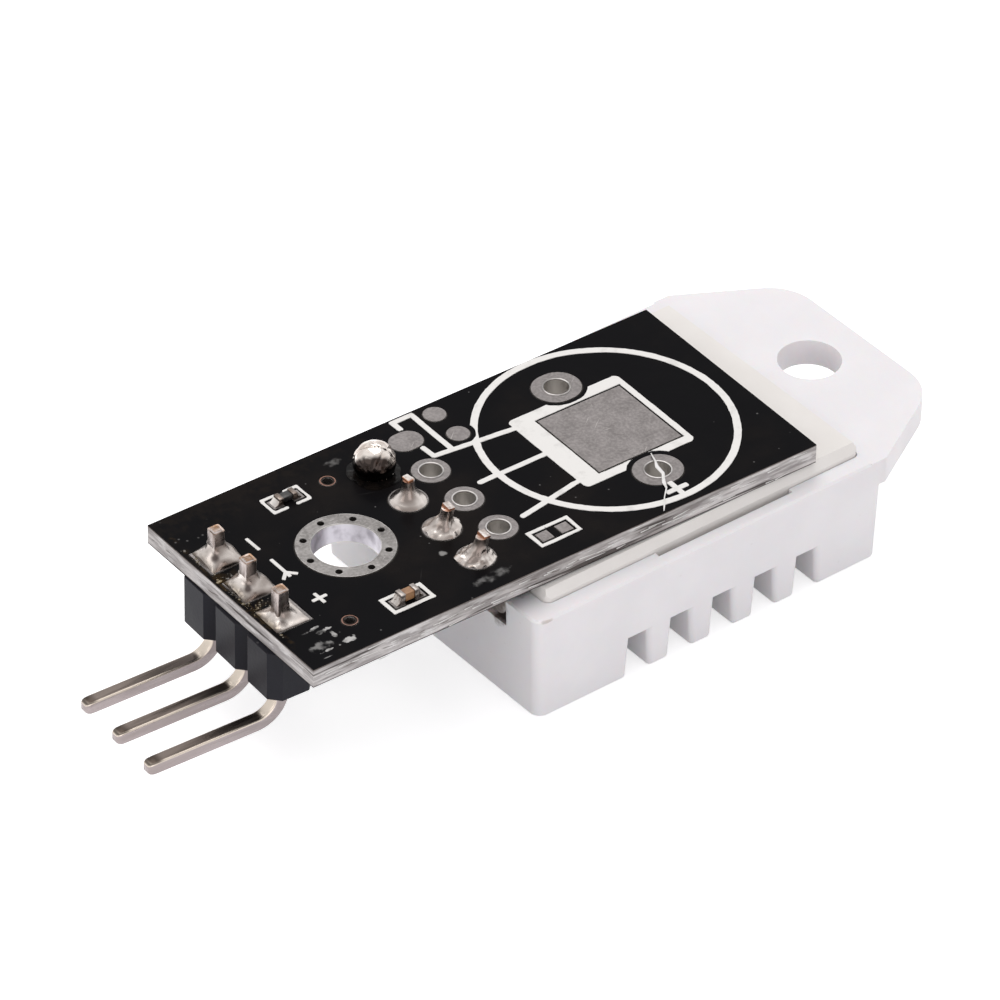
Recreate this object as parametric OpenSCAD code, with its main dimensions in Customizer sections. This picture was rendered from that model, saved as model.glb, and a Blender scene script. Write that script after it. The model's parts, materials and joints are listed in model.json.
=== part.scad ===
// Temperature and humidity sensor module: a white moulded sensor soldered under a small black
// circuit board, with a three-pin angled header under the board's other end.
// The origin is on the axis of the board's mounting hole, on the board's underside.
// +X runs along the board towards the sensor's ear, +Z is the side with the solder joints.

/* [Board] */
// Length of the circuit board
board_l = 27.87; // [26:0.01:32]
// Width of the circuit board
board_w = 12.62; // [12.4:0.01:15]
// Thickness of the circuit board over its solder mask
board_t = 1.0; // [0.8:0.1:1.6]
// Thickness of each coat of solder mask
mask_t = 0.03; // [0.02:0.01:0.05]
// Thickness of the tinned copper lands
land_t = 0.05; // [0.04:0.01:0.06]
// Thickness of the printed white ink
ink_t = 0.03; // [0.02:0.01:0.06]
// Bare gap between a land and the mask around it
mask_gap = 0.06; // [0.03:0.01:0.1]
// Wall of the metal plating in the holes
plating_t = 0.04; // [0.03:0.01:0.06]

/* [Mounting hole] */
// Finished diameter of the mounting hole
mount_hole_d = 3.15; // [2.6:0.05:3.3]
// Width of the tinned ring round the mounting hole
mount_ring_w = 0.705; // [0.6:0.005:0.9]
// Distance from the board's header end to the hole's axis
hole_edge = 6.30; // [6:0.05:7]
// Share of the ring's width that the small holes stitched round it take
stitch_share = 0.48; // [0.3:0.02:0.6]
// Number of small holes round the ring
stitch_count = 8; // [6:1:10]

/* [Printed marks] */
// Middle of the printed circle, from the mounting hole
circle_x = 14.55; // [14:0.05:15]
// Radius of the printed circle to the middle of its line
circle_r = 5.96; // [5.6:0.02:5.98]
// Width of the printed circle's line
circle_line = 0.38; // [0.2:0.02:0.5]
// Width of the printed connecting lines
lead_line = 0.3; // [0.2:0.02:0.4]
// Gap between the spare rings and the printed lines
lead_gap = 0.24; // [0.16:0.02:0.4]
// Width of the square's printed border towards the spare rings
border_left = 1.19; // [1:0.01:1.3]
// Width of the square's printed border towards the ear
border_right = 0.4; // [0.3:0.01:0.5]
// Width of the square's printed border on the near side
border_near = 0.6; // [0.5:0.01:0.8]
// Width of the square's printed border on the far side
border_far = 0.76; // [0.6:0.01:0.9]
// Radius of the border's corners
border_r = 0.3; // [0.1:0.02:0.4]
// Width of the lines round the small components
outline_line = 0.2; // [0.12:0.02:0.24]

/* [Bare lands] */
// Side of the large square land
square_side = 4.63; // [4:0.01:4.8]
// Middle of the square land, from the mounting hole
square_x = 14.68; // [14.5:0.02:14.9]
// Distance between the two oblong rings beside the square land
buzzer_pitch = 7.57; // [7.5:0.01:7.8]
// Diameter of the plated holes in the oblong rings
buzzer_hole_d = 1.2; // [1:0.05:1.3]
// Outer diameter of the oblong rings
buzzer_ring_d = 2.16; // [2:0.02:2.2]
// Diameter of the spare plated holes
spare_hole_d = 1.06; // [0.9:0.02:1.2]
// Outer diameter of the spare rings
spare_ring_d = 1.78; // [1.7:0.02:1.9]
// Distance from the sensor's pin row to the spare holes
spare_gap = 2.08; // [2:0.02:2.3]

/* [Header] */
// Spacing of the header pins, and of the sensor's pins
pitch = 2.54; // [2.5:0.01:2.58]
// Distance from the board's end to the header's pin row
header_edge = 1.02; // [1:0.02:1.4]
// Sideways offset of the header from the board's centreline
header_y = 0.05; // [-0.2:0.01:0.3]
// Angle by which the header is soldered askew, in degrees
header_skew = -1.8; // [-2:0.1:2]
// Height of the header's plastic blocks
block_h = 2.54; // [2.2:0.02:2.6]
// Width of the header's plastic blocks
block_w = 2.4; // [2.2:0.02:2.5]
// Chamfer on the corners of the plastic blocks
block_chamfer = 0.5; // [0.3:0.05:0.6]
// Side of the header's square wire
wire = 0.64; // [0.5:0.02:0.7]
// Chamfer along the corners of the square wire
wire_chamfer = 0.1; // [0.04:0.02:0.14]
// Height of the header pins above the board
tail_h = 1.65; // [1.3:0.05:2]
// Bend radius on the middle line of the header pins
bend_r = 1.35; // [1:0.05:1.5]
// Drop from the blocks to the middle line of the level pins
pin_drop = 1.76; // [1.6:0.02:2.2]
// Reach of the header pins from their row to their tips
pin_reach = 7.05; // [6:0.05:9]
// Length of the tapered tips
tip_l = 0.5; // [0.3:0.05:0.8]

/* [Sensor] */
// Distance from the mounting hole to the sensor's pin row
pin_row_x = 4.2; // [4:0.05:4.4]
// Sideways place of the sensor's pin row
pin_row_y = -0.2; // [-0.25:0.01:0]
// Angle by which the sensor is soldered askew, in degrees
sensor_skew = 1.7; // [-2:0.1:2]
// Sideways offset of the housing from its pin row
housing_shift = 0.14; // [0:0.01:0.3]
// Gap between the board and the sensor's lid
lid_gap = 0.06; // [0.04:0.01:0.2]
// Length of the housing without its ear
body_l = 20.2; // [19.8:0.1:21]
// Width of the housing at its rim
body_w = 15.6; // [15.4:0.1:16]
// Height of the housing from its rim to its grille face
body_h = 5.7; // [5.5:0.05:7]
// Slope of the end walls over their height
end_draft = 0.18; // [0:0.01:0.25]
// Slope of the side walls over their height
side_draft = 0.07; // [0:0.01:0.2]
// Radius of the housing's upright corners
corner_r = 0.55; // [0.45:0.05:1.2]
// Width of the housing's soft outer edges at the grille face
edge_soft = 0.25; // [0.1:0.05:0.4]
// Width of the housing's soft outer edges at its rim
rim_soft = 0.1; // [0.05:0.05:0.2]
// Thickness of the housing's side walls
side_wall = 1.5; // [1.35:0.05:1.8]
// Thickness of the housing's end walls
end_wall = 1.85; // [1.75:0.05:2.1]
// Thickness of the grille face
face_t = 1.2; // [0.9:0.05:1.4]

/* [Grille] */
// Number of slots across the grille face
slot_count = 5; // [4:1:5]
// Distance from the pin end to the middle of the first slot
slot_start = 5.95; // [5.6:0.05:6.2]
// Spacing of the slots
slot_pitch = 2.45; // [2.3:0.01:2.5]
// Width of a slot at its root
slot_w = 1.0; // [0.7:0.05:1.2]
// Extra width of a slot at the grille face
slot_flare = 0.3; // [0:0.05:0.4]
// Depth of the slots
slot_depth = 2.2; // [1.8:0.05:2.4]
// Number of inner ribs along the grille
rib_count = 3; // [1:1:4]
// Width of the inner ribs
rib_w = 0.8; // [0.5:0.05:1]

/* [Ear] */
// Length of the ear beyond the housing
ear_l = 5.07; // [4.6:0.01:5.6]
// Thickness of the ear
ear_t = 1.37; // [1.2:0.05:1.8]
// Angle of the ear's slanted sides, in degrees
ear_angle = 29.5; // [25:0.5:32]
// Radius of the ear's rounded corners
ear_r = 2.4; // [2:0.1:3.2]
// Distance from the pin end to the ear hole's axis
ear_hole_x = 22.2; // [22:0.05:22.4]
// Diameter of the ear hole
ear_hole_d = 3.0; // [2.6:0.05:3.2]

/* [Lid] */
// Width of the rim between the lid and the side faces
rim_w = 0.92; // [0.8:0.02:1.1]
// Width of the rim at the pin end
rim_end = 1.25; // [1.15:0.05:1.4]
// Width of the rim at the ear end
rim_ear = 0.85; // [0.75:0.05:1]
// Height of the lid above the rim
lid_proud = 0.58; // [0.4:0.02:0.8]
// Depth of the lid's seat below the rim
lid_seat = 0.5; // [0.4:0.05:0.6]
// Clearance round the lid in its seat
lid_clear = 0.05; // [0.03:0.01:0.08]
// Slope of the lid's long sides above the rim
lid_slope = 0.3; // [0.1:0.02:0.4]
// Distance from the pin end to the clip slots
clip_start = 7.4; // [7:0.1:8]
// Length of the clip slots beside the lid
clip_l = 7.75; // [6:0.05:8]
// Width of the clip slots
clip_w = 0.32; // [0.2:0.02:0.4]
// Half width of the notch that the pins leave by
notch_half = 5.55; // [5:0.05:5.7]
// Depth of the notch below the rim
notch_depth = 1.45; // [1.4:0.05:1.6]
// Width of the lid's two rounded lugs in the notch
lug_w = 1.1; // [0.8:0.05:1.15]
// Reach of the lugs below the rim
lug_depth = 1.03; // [0.9:0.01:1.1]

/* [Sensor pins] */
// Width of a sensor pin
lead_w = 0.5; // [0.4:0.02:0.54]
// Thickness of a sensor pin
lead_t = 0.35; // [0.25:0.01:0.38]
// Distance from the pin row to the housing's end wall
lead_out = 0.33; // [0.3:0.01:0.5]
// Bend radius on the middle line of the sensor pins
lead_bend = 0.4; // [0.3:0.02:0.45]
// Height of the sensor pins above the board
lead_h = 1.3; // [1.25:0.05:1.4]
// Angle by which the tips of the last two pins lean, in degrees
lead_lean = 9; // [0:1:12]
// Length of each pin that lies on the inner board
lead_grip = 1.3; // [1:0.05:1.5]

/* [Solder] */
// Diameter of the drilled pin holes
pin_hole_d = 1.0; // [0.96:0.01:1.1]
// Radius of a sensor joint at the board
joint_r = 0.86; // [0.7:0.02:0.95]
// Height of a sensor joint
joint_h = 1.15; // [0.7:0.05:1.2]
// Radius of the one round joint
ball_r = 0.95; // [0.8:0.02:1]
// Height of the one round joint
ball_h = 1.6; // [1.5:0.05:1.9]
// Side of a header joint at the board
header_joint = 1.72; // [1.4:0.02:1.8]
// Offset of the header's lands from its pin row, away from the board's end
land_shift = 0.14; // [0:0.01:0.2]
// Height of a header joint
header_joint_h = 0.95; // [0.7:0.05:1.2]

/* [Inner parts] */
// Thickness of the board inside the sensor
inner_t = 0.8; // [0.6:0.05:1]
// Clearance round the inner board
inner_clear = 0.2; // [0.1:0.02:0.3]
// Side of the posts that carry the inner board
post = 1.3; // [1:0.05:1.5]
// Length of the humidity element
element_l = 7.0; // [6:0.1:8]
// Width of the humidity element
element_w = 5.0; // [4:0.1:6]
// Thickness of the humidity element
element_t = 0.5; // [0.4:0.02:0.6]
// Length of the controller chip
chip_l = 8.6; // [8:0.1:9]
// Width of the controller chip's body
chip_w = 3.9; // [3.5:0.1:4.2]
// Height of the controller chip
chip_h = 0.7; // [0.5:0.02:0.75]
// Size of the temperature element
bead = 0.7; // [0.5:0.02:0.75]

/* [Small components] */
// Length of the resistor and the capacitor
chip_part_l = 1.0; // [0.96:0.02:1.1]
// Width of the resistor and the capacitor
chip_part_w = 0.5; // [0.46:0.02:0.6]
// Height of the resistor
resistor_h = 0.35; // [0.3:0.01:0.4]
// Height of the capacitor
capacitor_h = 0.5; // [0.45:0.01:0.55]
// Length of each metal end cap
cap_end = 0.25; // [0.18:0.01:0.3]
// Length of the solder fillet at each end
fillet_l = 0.26; // [0.2:0.01:0.28]

/* [Hidden] */
$fn = 64;
eps = 0.01;
cut = 1;

mask_colour = [0.07, 0.07, 0.08];
tin_colour = [0.62, 0.61, 0.60];
solder_colour = [0.78, 0.76, 0.74];
ink_colour = [0.93, 0.92, 0.89];
white_plastic = [0.93, 0.91, 0.92];

laminate_low = mask_t;
laminate_top = board_t - mask_t;
land_top = laminate_top + land_t;
land_low = laminate_low - land_t;

header_pins = 3;
sensor_pins = 4;
header_x = header_edge - hole_edge;
spare_x = pin_row_x + spare_gap;
spare_y = pin_row_y - 0.13;
spare_count = 3;
buzzer_x = circle_x + 0.06;
buzzer_y = 0.14;
circle_y = 0.14;
square_y = 0.05;
oblong = 0.22;

// Levels of the sensor, down from the board's underside
lid_top_z = -lid_gap;
rim_z = lid_top_z - lid_proud;
face_z = rim_z - body_h;
floor_z = face_z + face_t;
sill_z = rim_z - notch_depth;
lead_z = sill_z + 0.02 + lead_t / 2;
inner_top_z = lead_z - lead_t / 2;
inner_low_z = inner_top_z - inner_t;

chamber_x0 = end_wall;
chamber_x1 = body_l - end_wall + 0.35;
chamber_half = body_w / 2 - side_wall;
lid_x0 = rim_end;
lid_x1 = body_l - rim_ear;
lid_half = body_w / 2 - rim_w;
inner_x0 = chamber_x0 + inner_clear;
inner_x1 = chamber_x1 - inner_clear;
inner_half = chamber_half - inner_clear;
pin_y0 = -(sensor_pins - 1) / 2 * pitch;
header_y0 = (header_pins - 1) / 2 * pitch;
chip_x = (inner_x0 + inner_x1) / 2 + 1;
element_gap = 1;
element_x = inner_x0 + lead_grip + element_gap + element_l / 2;
bead_x = element_x + element_l / 2 + element_gap + bead;
bead_y = element_w / 2;

resistor_at = [-0.25, 4.25];
capacitor_at = [-0.03, -4.64];
footprint_at = [8.1, -4.57];
part_span = 0.55;
footprint_span = 0.53;
land_l = 0.54;
land_w = 0.62;
footprint_l = 0.62;
outline_gap = 0.11;
mount_ring_d = mount_hole_d + 2 * mount_ring_w;
stitch_d = stitch_share * mount_ring_w;
lead_from = spare_x + spare_ring_d / 2 + lead_gap + lead_line / 2;
border_x0 = square_x - square_side / 2 - border_left;
border_x1 = square_x + square_side / 2 + border_right;
border_y0 = square_y - square_side / 2 - border_near;
border_y1 = square_y + square_side / 2 + border_far;
round_lands = [[8.9, 5.5, 0.54], [8.92, 3.72, 0.54]];
oval_land_at = [6.66, 4.62];
oval_d = 1.36;
oval_stretch = 0.3;
copper_holes = [[2.07, 4.28], [-2.99, -4.43]];
copper_hole_d = 0.5;
copper_ring_d = 0.74;

function header_pin_y(n) = header_y0 - (n - 1) * pitch;
function header_land_at(n) = [header_x + land_shift, header_y + header_pin_y(n), 0];
function sensor_pin_y(n) = -pin_y0 - (n - 1) * pitch;

module in_header() {
    translate([header_x, header_y, 0]) rotate([0, 0, header_skew]) children();
}

// The sensor's own frame starts at the middle of its pin end
module in_sensor() {
    translate([pin_row_x, pin_row_y, 0]) rotate([0, 0, sensor_skew])
        translate([lead_out, housing_shift, 0]) children();
}

module rounded_rect(x0, x1, half, r) {
    translate([x0, -half + r]) square([x1 - x0, 2 * (half - r)]);
    translate([x0 + r, -half]) square([x1 - x0 - 2 * r, 2 * half]);
    for (x = [x0 + r, x1 - r], y = [-half + r, half - r]) translate([x, y]) circle(r, $fn = 32);
}

module slab(z, x0, x1, half, r) {
    translate([0, 0, z]) linear_extrude(eps) rounded_rect(x0, x1, half, r);
}

module oblong_disc(d, stretch) {
    for (s = [-1, 1]) translate([s * stretch / 2, 0]) circle(d = d);
    square([stretch, d], center = true);
}

module line(from, to, w) {
    run = to - from;
    translate(from) rotate(atan2(run.y, run.x)) translate([0, -w / 2]) square([norm(run), w]);
}

module path(points, w) {
    for (i = [1 : len(points) - 1]) line(points[i - 1], points[i], w);
    for (p = points) translate(p) circle(d = w);
}

// Printed outline round two lands that stand a span to either side of the middle
module lands_frame_2d(span, l, w) {
    inner = [2 * span + l + 2 * outline_gap, w + 2 * outline_gap];
    difference() {
        square([inner.x + 2 * outline_line, inner.y + 2 * outline_line], center = true);
        square(inner, center = true);
    }
}

module board_outline(margin) {
    translate([-hole_edge + margin, -board_w / 2 + margin])
        square([board_l - 2 * margin, board_w - 2 * margin]);
}

module spare_places() {
    for (i = [0 : spare_count - 1])
        translate([spare_x, spare_y + ((spare_count - 1) / 2 - i) * pitch, 0]) children();
}

module buzzer_places() {
    for (s = [-1, 1]) translate([buzzer_x, buzzer_y + s * buzzer_pitch / 2, 0]) children();
}

module header_places() {
    for (n = [1 : header_pins]) at_header_pin(n) children();
}

module header_land_places() {
    for (n = [1 : header_pins]) translate(header_land_at(n)) children();
}

module sensor_places() {
    for (n = [1 : sensor_pins])
        translate([pin_row_x, pin_row_y + sensor_pin_y(n), 0]) children();
}

module stitch_places() {
    turn = 360 / stitch_count;
    reach = (mount_hole_d + mount_ring_w) / 2;
    for (i = [0 : stitch_count - 1]) rotate(turn * i) translate([reach, 0]) children();
}

module part_places(at) {
    for (s = [-1, 1]) translate([at.x + s * part_span, at.y]) children();
}

// Outlines of all bare metal on the solder side; grow widens them for the mask's openings
module lands_2d(grow) {
    for (at = [resistor_at, capacitor_at])
        part_places(at) square([land_l + 2 * grow, land_w + 2 * grow], center = true);
    for (s = [-1, 1]) translate([footprint_at.x + s * footprint_span, footprint_at.y])
        square([footprint_l + 2 * grow, land_w + 2 * grow], center = true);
    translate([square_x, square_y]) square(square_side + 2 * grow, center = true);
    for (p = round_lands) translate([p[0], p[1]]) circle(p[2] + grow);
    translate(oval_land_at) oblong_disc(oval_d + 2 * grow, oval_stretch);
    for (p = copper_holes) translate(p) circle(copper_ring_d / 2 + grow);
    header_land_places() square(header_joint + 0.08 + 2 * grow, center = true);
    sensor_places() circle(joint_r + 0.04 + grow);
}

module rings_2d(grow) {
    circle(mount_ring_d / 2 + grow);
    spare_places() circle(spare_ring_d / 2 + grow);
    buzzer_places() oblong_disc(buzzer_ring_d + 2 * grow, oblong);
}

module pin_holes_2d() {
    header_places() circle(pin_hole_d / 2);
    sensor_places() circle(pin_hole_d / 2);
    for (p = copper_holes) translate(p) circle(copper_hole_d / 2);
}

module drilled_2d() {
    circle(mount_hole_d / 2);
    stitch_places() circle(stitch_d / 2);
    spare_places() circle(spare_hole_d / 2 + plating_t);
    buzzer_places() circle(buzzer_hole_d / 2 + plating_t);
    pin_holes_2d();
}

module board_laminate() {
    color([0.72, 0.71, 0.66]) translate([0, 0, laminate_low])
        linear_extrude(laminate_top - laminate_low) difference() {
            board_outline(0);
            drilled_2d();
        }
}

module mask_top() {
    color(mask_colour) translate([0, 0, laminate_top]) linear_extrude(mask_t) difference() {
        board_outline(0);
        lands_2d(mask_gap);
        rings_2d(mask_gap);
    }
}

module mask_bottom() {
    color(mask_colour) linear_extrude(mask_t) difference() {
        board_outline(0);
        rings_2d(mask_gap);
        pin_holes_2d();
    }
}

// A tinned land on both faces, joined by the plating in its hole
module plated_hole(hole_d, wall_d) {
    difference() {
        translate([0, 0, laminate_low]) cylinder(d = wall_d, h = laminate_top - laminate_low);
        translate([0, 0, laminate_low - cut]) cylinder(d = hole_d, h = board_t + 2 * cut);
    }
}

module land_pair(hole_d) {
    for (z = [land_low, laminate_top]) translate([0, 0, z]) linear_extrude(land_t) difference() {
        children();
        circle(d = hole_d);
    }
}

module mount_ring() {
    color(tin_colour) land_pair(mount_hole_d) difference() {
        circle(d = mount_ring_d);
        stitch_places() circle(stitch_d / 2);
    }
}

module plated_rings() {
    color(tin_colour) {
        spare_places() {
            plated_hole(spare_hole_d, spare_hole_d + 2 * plating_t);
            land_pair(spare_hole_d) circle(d = spare_ring_d);
        }
        buzzer_places() {
            plated_hole(buzzer_hole_d, buzzer_hole_d + 2 * plating_t);
            land_pair(buzzer_hole_d) oblong_disc(buzzer_ring_d, oblong);
        }
    }
}

module tinned_lands() {
    color(tin_colour) translate([0, 0, laminate_top]) linear_extrude(land_t) difference() {
        lands_2d(0);
        pin_holes_2d();
    }
}

// The square's printed border, which steps round the two oblong rings
module square_border() {
    difference() {
        translate([0, (border_y0 + border_y1) / 2])
            rounded_rect(border_x0, border_x1, (border_y1 - border_y0) / 2, border_r);
        translate([square_x, square_y]) square(square_side + 2 * mask_gap + 0.06, center = true);
        buzzer_places() oblong_disc(buzzer_ring_d + 0.5, oblong);
    }
}

module printed_circle() {
    difference() {
        translate([circle_x, circle_y]) circle(circle_r + circle_line / 2, $fn = 128);
        translate([circle_x, circle_y]) circle(circle_r - circle_line / 2, $fn = 128);
        for (p = round_lands) translate([p[0], p[1]]) circle(p[2] + 0.26);
    }
}

module silkscreen_2d() {
    printed_circle();
    square_border();
    oval = oval_land_at;
    corner = [oval.x + 0.38, spare_y + pitch + spare_ring_d / 2 - 0.1];
    path([[oval.x + 0.32, oval.y - 0.86], corner, [border_x0 + 0.1, border_y1 - 0.6]], lead_line);
    path([[lead_from, circle_y + 0.09], [border_x0 + 0.1, circle_y + 0.09]], lead_line);
    path([[lead_from + 0.1, border_y0], [border_x0 + 0.1, border_y0 + 0.63]], lead_line);
    bracket_x = round_lands[0].x - round_lands[0].z - 0.35;
    path([[oval.x + 0.3, oval.y + 0.84], [oval.x + 0.28, board_w / 2 - 0.24],
        [bracket_x, board_w / 2 - 0.24], [bracket_x, corner.y - 0.1]], lead_line);
    translate(capacitor_at) lands_frame_2d(part_span, land_l, land_w);
    translate(footprint_at) lands_frame_2d(footprint_span, footprint_l, land_w);
    translate(resistor_at) for (s = [-1, 1]) scale([s, 1])
        path([[0.3, 0.53], [0.95, 0.53], [0.95, -0.53], [0.3, -0.53]], outline_line);
}

module silkscreen() {
    color(ink_colour) translate([0, 0, board_t]) linear_extrude(ink_t) difference() {
        intersection() {
            silkscreen_2d();
            board_outline(eps);
        }
        lands_2d(mask_gap + eps);
        rings_2d(mask_gap + eps);
    }
}

// The strip of three chamfered blocks, moulded in one piece
module header_housing() {
    side = [block_w, pitch];
    color([0.09, 0.09, 0.11]) in_header() difference() {
        translate([0, 0, -block_h]) linear_extrude(block_h) {
            for (n = [1 : header_pins]) translate([0, header_pin_y(n)]) polygon([
                [-side.x / 2, -side.y / 2 + block_chamfer],
                [-side.x / 2 + block_chamfer, -side.y / 2],
                [side.x / 2 - block_chamfer, -side.y / 2],
                [side.x / 2, -side.y / 2 + block_chamfer],
                [side.x / 2, side.y / 2 - block_chamfer],
                [side.x / 2 - block_chamfer, side.y / 2],
                [-side.x / 2 + block_chamfer, side.y / 2],
                [-side.x / 2, side.y / 2 - block_chamfer]]);
        }
        for (n = [1 : header_pins]) translate([0, header_pin_y(n), -block_h - cut])
            linear_extrude(block_h + 2 * cut) wire_2d();
    }
}

module wire_2d() {
    h = wire / 2;
    c = wire_chamfer;
    polygon([[-h, -h + c], [-h + c, -h], [h - c, -h], [h, -h + c],
        [h, h - c], [h - c, h], [-h + c, h], [-h, h - c]]);
}

// One square wire: upright through board and block, a quarter bend, then level to its tip
module header_wire() {
    level_z = -block_h - pin_drop;
    bend_top = level_z + bend_r;
    translate([0, 0, bend_top]) linear_extrude(board_t + tail_h - bend_top) wire_2d();
    translate([-bend_r, 0, bend_top]) rotate([90, 0, 0]) rotate([0, 0, -90])
        rotate_extrude(angle = 90) translate([bend_r, 0]) wire_2d();
    translate([-pin_reach + tip_l, 0, level_z]) rotate([0, 90, 0])
        linear_extrude(pin_reach - tip_l - bend_r) wire_2d();
    translate([-pin_reach, 0, level_z]) rotate([0, 90, 0]) intersection() {
        linear_extrude(tip_l) wire_2d();
        cylinder(r1 = wire * 0.36, r2 = wire * 0.72, h = tip_l);
    }
}

module header_pin(n) {
    color([0.66, 0.63, 0.60]) in_header() translate([0, header_pin_y(n), 0]) header_wire();
}

module at_header_pin(n) {
    in_header() translate([0, header_pin_y(n), 0]) children();
}

// Flat disc of solder round a header pin, at a share of the joint's height
module solder_disc(n, share, d) {
    at_header_pin(n) translate([0, 0, land_top + header_joint_h * share]) linear_extrude(eps)
        circle(d = d, $fn = 32);
}

module header_solder(n) {
    neck = wire + 0.16;
    shoulder = wire + 0.4;
    color(solder_colour) difference() {
        union() {
            at_header_pin(n) cylinder(d = pin_hole_d, h = board_t + land_t);
            hull() {
                translate(header_land_at(n)) translate([0, 0, land_top]) linear_extrude(eps)
                    square(header_joint, center = true);
                solder_disc(n, 0.4, shoulder);
            }
            hull() {
                solder_disc(n, 0.4, shoulder);
                solder_disc(n, 1, neck);
            }
        }
        at_header_pin(n) translate([0, 0, -cut]) linear_extrude(board_t + tail_h + 2 * cut)
            wire_2d();
    }
}

module housing_shell() {
    half = body_w / 2;
    low_half = half - side_draft;
    low_end = end_draft;
    hull() {
        slab(rim_z - eps, rim_soft, body_l - rim_soft, half - rim_soft, corner_r);
        slab(rim_z - rim_soft, 0, body_l, half, corner_r);
        slab(face_z + edge_soft, low_end, body_l - low_end, low_half, corner_r);
        slab(face_z, low_end + edge_soft, body_l - low_end - edge_soft, low_half - edge_soft,
            corner_r);
    }
}

// Flat ear with slanted sides, two rounded corners and a round hole
module ear_2d() {
    half = body_w / 2;
    tip_x = body_l + ear_l;
    corner_y = half - ear_l * tan(ear_angle);
    tangent = ear_r * tan((90 - ear_angle) / 2);
    run_in = [tip_x - tangent * cos(ear_angle), corner_y + tangent * sin(ear_angle)];
    root_x = body_l - rim_ear;
    polygon([[root_x, -half], [body_l, -half], [run_in.x, -run_in.y],
        [tip_x, -corner_y + tangent], [tip_x, corner_y - tangent], run_in,
        [body_l, half], [root_x, half]]);
    for (s = [-1, 1]) translate([tip_x - ear_r, s * (corner_y - tangent)]) circle(ear_r);
}

module grille_slots() {
    root = slot_w / 2;
    mouth = root + slot_flare / 2;
    for (i = [0 : slot_count - 1]) translate([slot_start + i * slot_pitch, 0, face_z])
        rotate([90, 0, 0]) linear_extrude(body_w + 2 * cut, center = true)
            polygon([[-mouth, -cut], [mouth, -cut], [mouth, 0], [root, slot_depth],
                [-root, slot_depth], [-mouth, 0]]);
}

module grille_ribs() {
    span = 2 * chamber_half / (rib_count + 1);
    for (i = [1 : rib_count])
        translate([chamber_x0 - eps, -chamber_half + i * span - rib_w / 2, floor_z - eps])
            cube([chamber_x1 - chamber_x0 + 2 * eps, rib_w, slot_depth - face_t + 0.1]);
}

module board_posts() {
    for (x = [chamber_x0 - eps, chamber_x1 - post + eps], s = [-1, 1])
        translate([x, s > 0 ? chamber_half - post : -chamber_half, floor_z - eps])
            cube([post, post, inner_low_z - floor_z + eps]);
}

module lid_pocket() {
    translate([0, 0, rim_z - lid_seat]) linear_extrude(lid_seat + cut)
        rounded_rect(lid_x0 - lid_clear, lid_x1 + lid_clear, lid_half + lid_clear, 0.4);
    for (s = [-1, 1])
        translate([clip_start, s > 0 ? 0 : -lid_half - clip_w, rim_z - lid_seat - 0.4])
            cube([clip_l, lid_half + clip_w, lid_seat + 0.4 + cut]);
}

module sensor_housing() {
    color(white_plastic) in_sensor() {
        difference() {
            union() {
                housing_shell();
                translate([0, 0, rim_z - ear_t]) linear_extrude(ear_t) ear_2d();
            }
            translate([chamber_x0, -chamber_half, floor_z])
                cube([chamber_x1 - chamber_x0, 2 * chamber_half, body_h]);
            lid_pocket();
            translate([-cut, -notch_half, sill_z])
                cube([end_wall + 2 * cut, 2 * notch_half, notch_depth + cut]);
            grille_slots();
            translate([ear_hole_x, 0, rim_z - ear_t - cut])
                cylinder(d = ear_hole_d, h = ear_t + 2 * cut);
        }
        grille_ribs();
        board_posts();
    }
}

// The lid's tongue closes the notch above the pins and ends in two rounded lugs
module lid_tongue() {
    half = notch_half - lid_clear;
    low = rim_z - lid_seat;
    lug_r = lug_w / 2;
    translate([lid_clear, -half, low]) cube([rim_end + 0.3, 2 * half, lid_seat]);
    for (s = [-1, 1]) translate([lid_clear, s * (half - lug_r), rim_z - lug_depth + lug_r])
        rotate([0, 90, 0]) cylinder(r = lug_r, h = rim_end - lid_clear);
}

// Upright outline whose sides slope in from just above the rim
module sloped_sides(x0, x1, low, high, slope) {
    start = rim_z + lid_proud * 0.3;
    polygon([[x0, low], [x1, low], [x1, start], [x1 - slope, high], [x0 + slope, high],
        [x0, start]]);
}

module sensor_lid() {
    low = rim_z - lid_seat;
    reach = body_l + cut;
    color([0.90, 0.86, 0.80]) in_sensor() {
        intersection() {
            translate([0, 0, low]) linear_extrude(lid_seat + lid_proud)
                rounded_rect(lid_x0, lid_x1, lid_half, 0.35);
            rotate([90, 0, 0]) linear_extrude(2 * body_w, center = true)
                sloped_sides(lid_x0, lid_x1, low, lid_top_z, 0.15);
            rotate([90, 0, 90]) linear_extrude(reach)
                sloped_sides(-lid_half, lid_half, low, lid_top_z, lid_slope);
        }
        lid_tongue();
    }
}

// One flat pin: along the inner board, out through the notch, then up through the circuit board
module sensor_lead(lean) {
    x_up = -lead_out;
    bend_x = x_up + lead_bend;
    bend_z = lead_z + lead_bend;
    end_x = inner_x0 + lead_grip;
    translate([bend_x, -lead_w / 2, lead_z - lead_t / 2]) cube([end_x - bend_x, lead_w, lead_t]);
    translate([bend_x, 0, bend_z]) rotate([90, 0, 0]) rotate([0, 0, 180])
        rotate_extrude(angle = 90) translate([lead_bend, 0])
            square([lead_t, lead_w], center = true);
    translate([x_up - lead_t / 2, -lead_w / 2, bend_z]) cube([lead_t, lead_w, board_t - bend_z]);
    translate([x_up, 0, board_t - 0.05]) rotate([lean * 0.7, lean, 0])
        translate([-lead_t / 2, -lead_w / 2, 0]) cube([lead_t, lead_w, lead_h + 0.05]);
}

module place_lead(n) {
    lean = n > 2 ? lead_lean : 0;
    in_sensor() translate([0, sensor_pin_y(n) - housing_shift, 0]) sensor_lead(lean);
}

module sensor_pin(n) {
    color([0.70, 0.66, 0.62]) place_lead(n);
}

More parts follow.
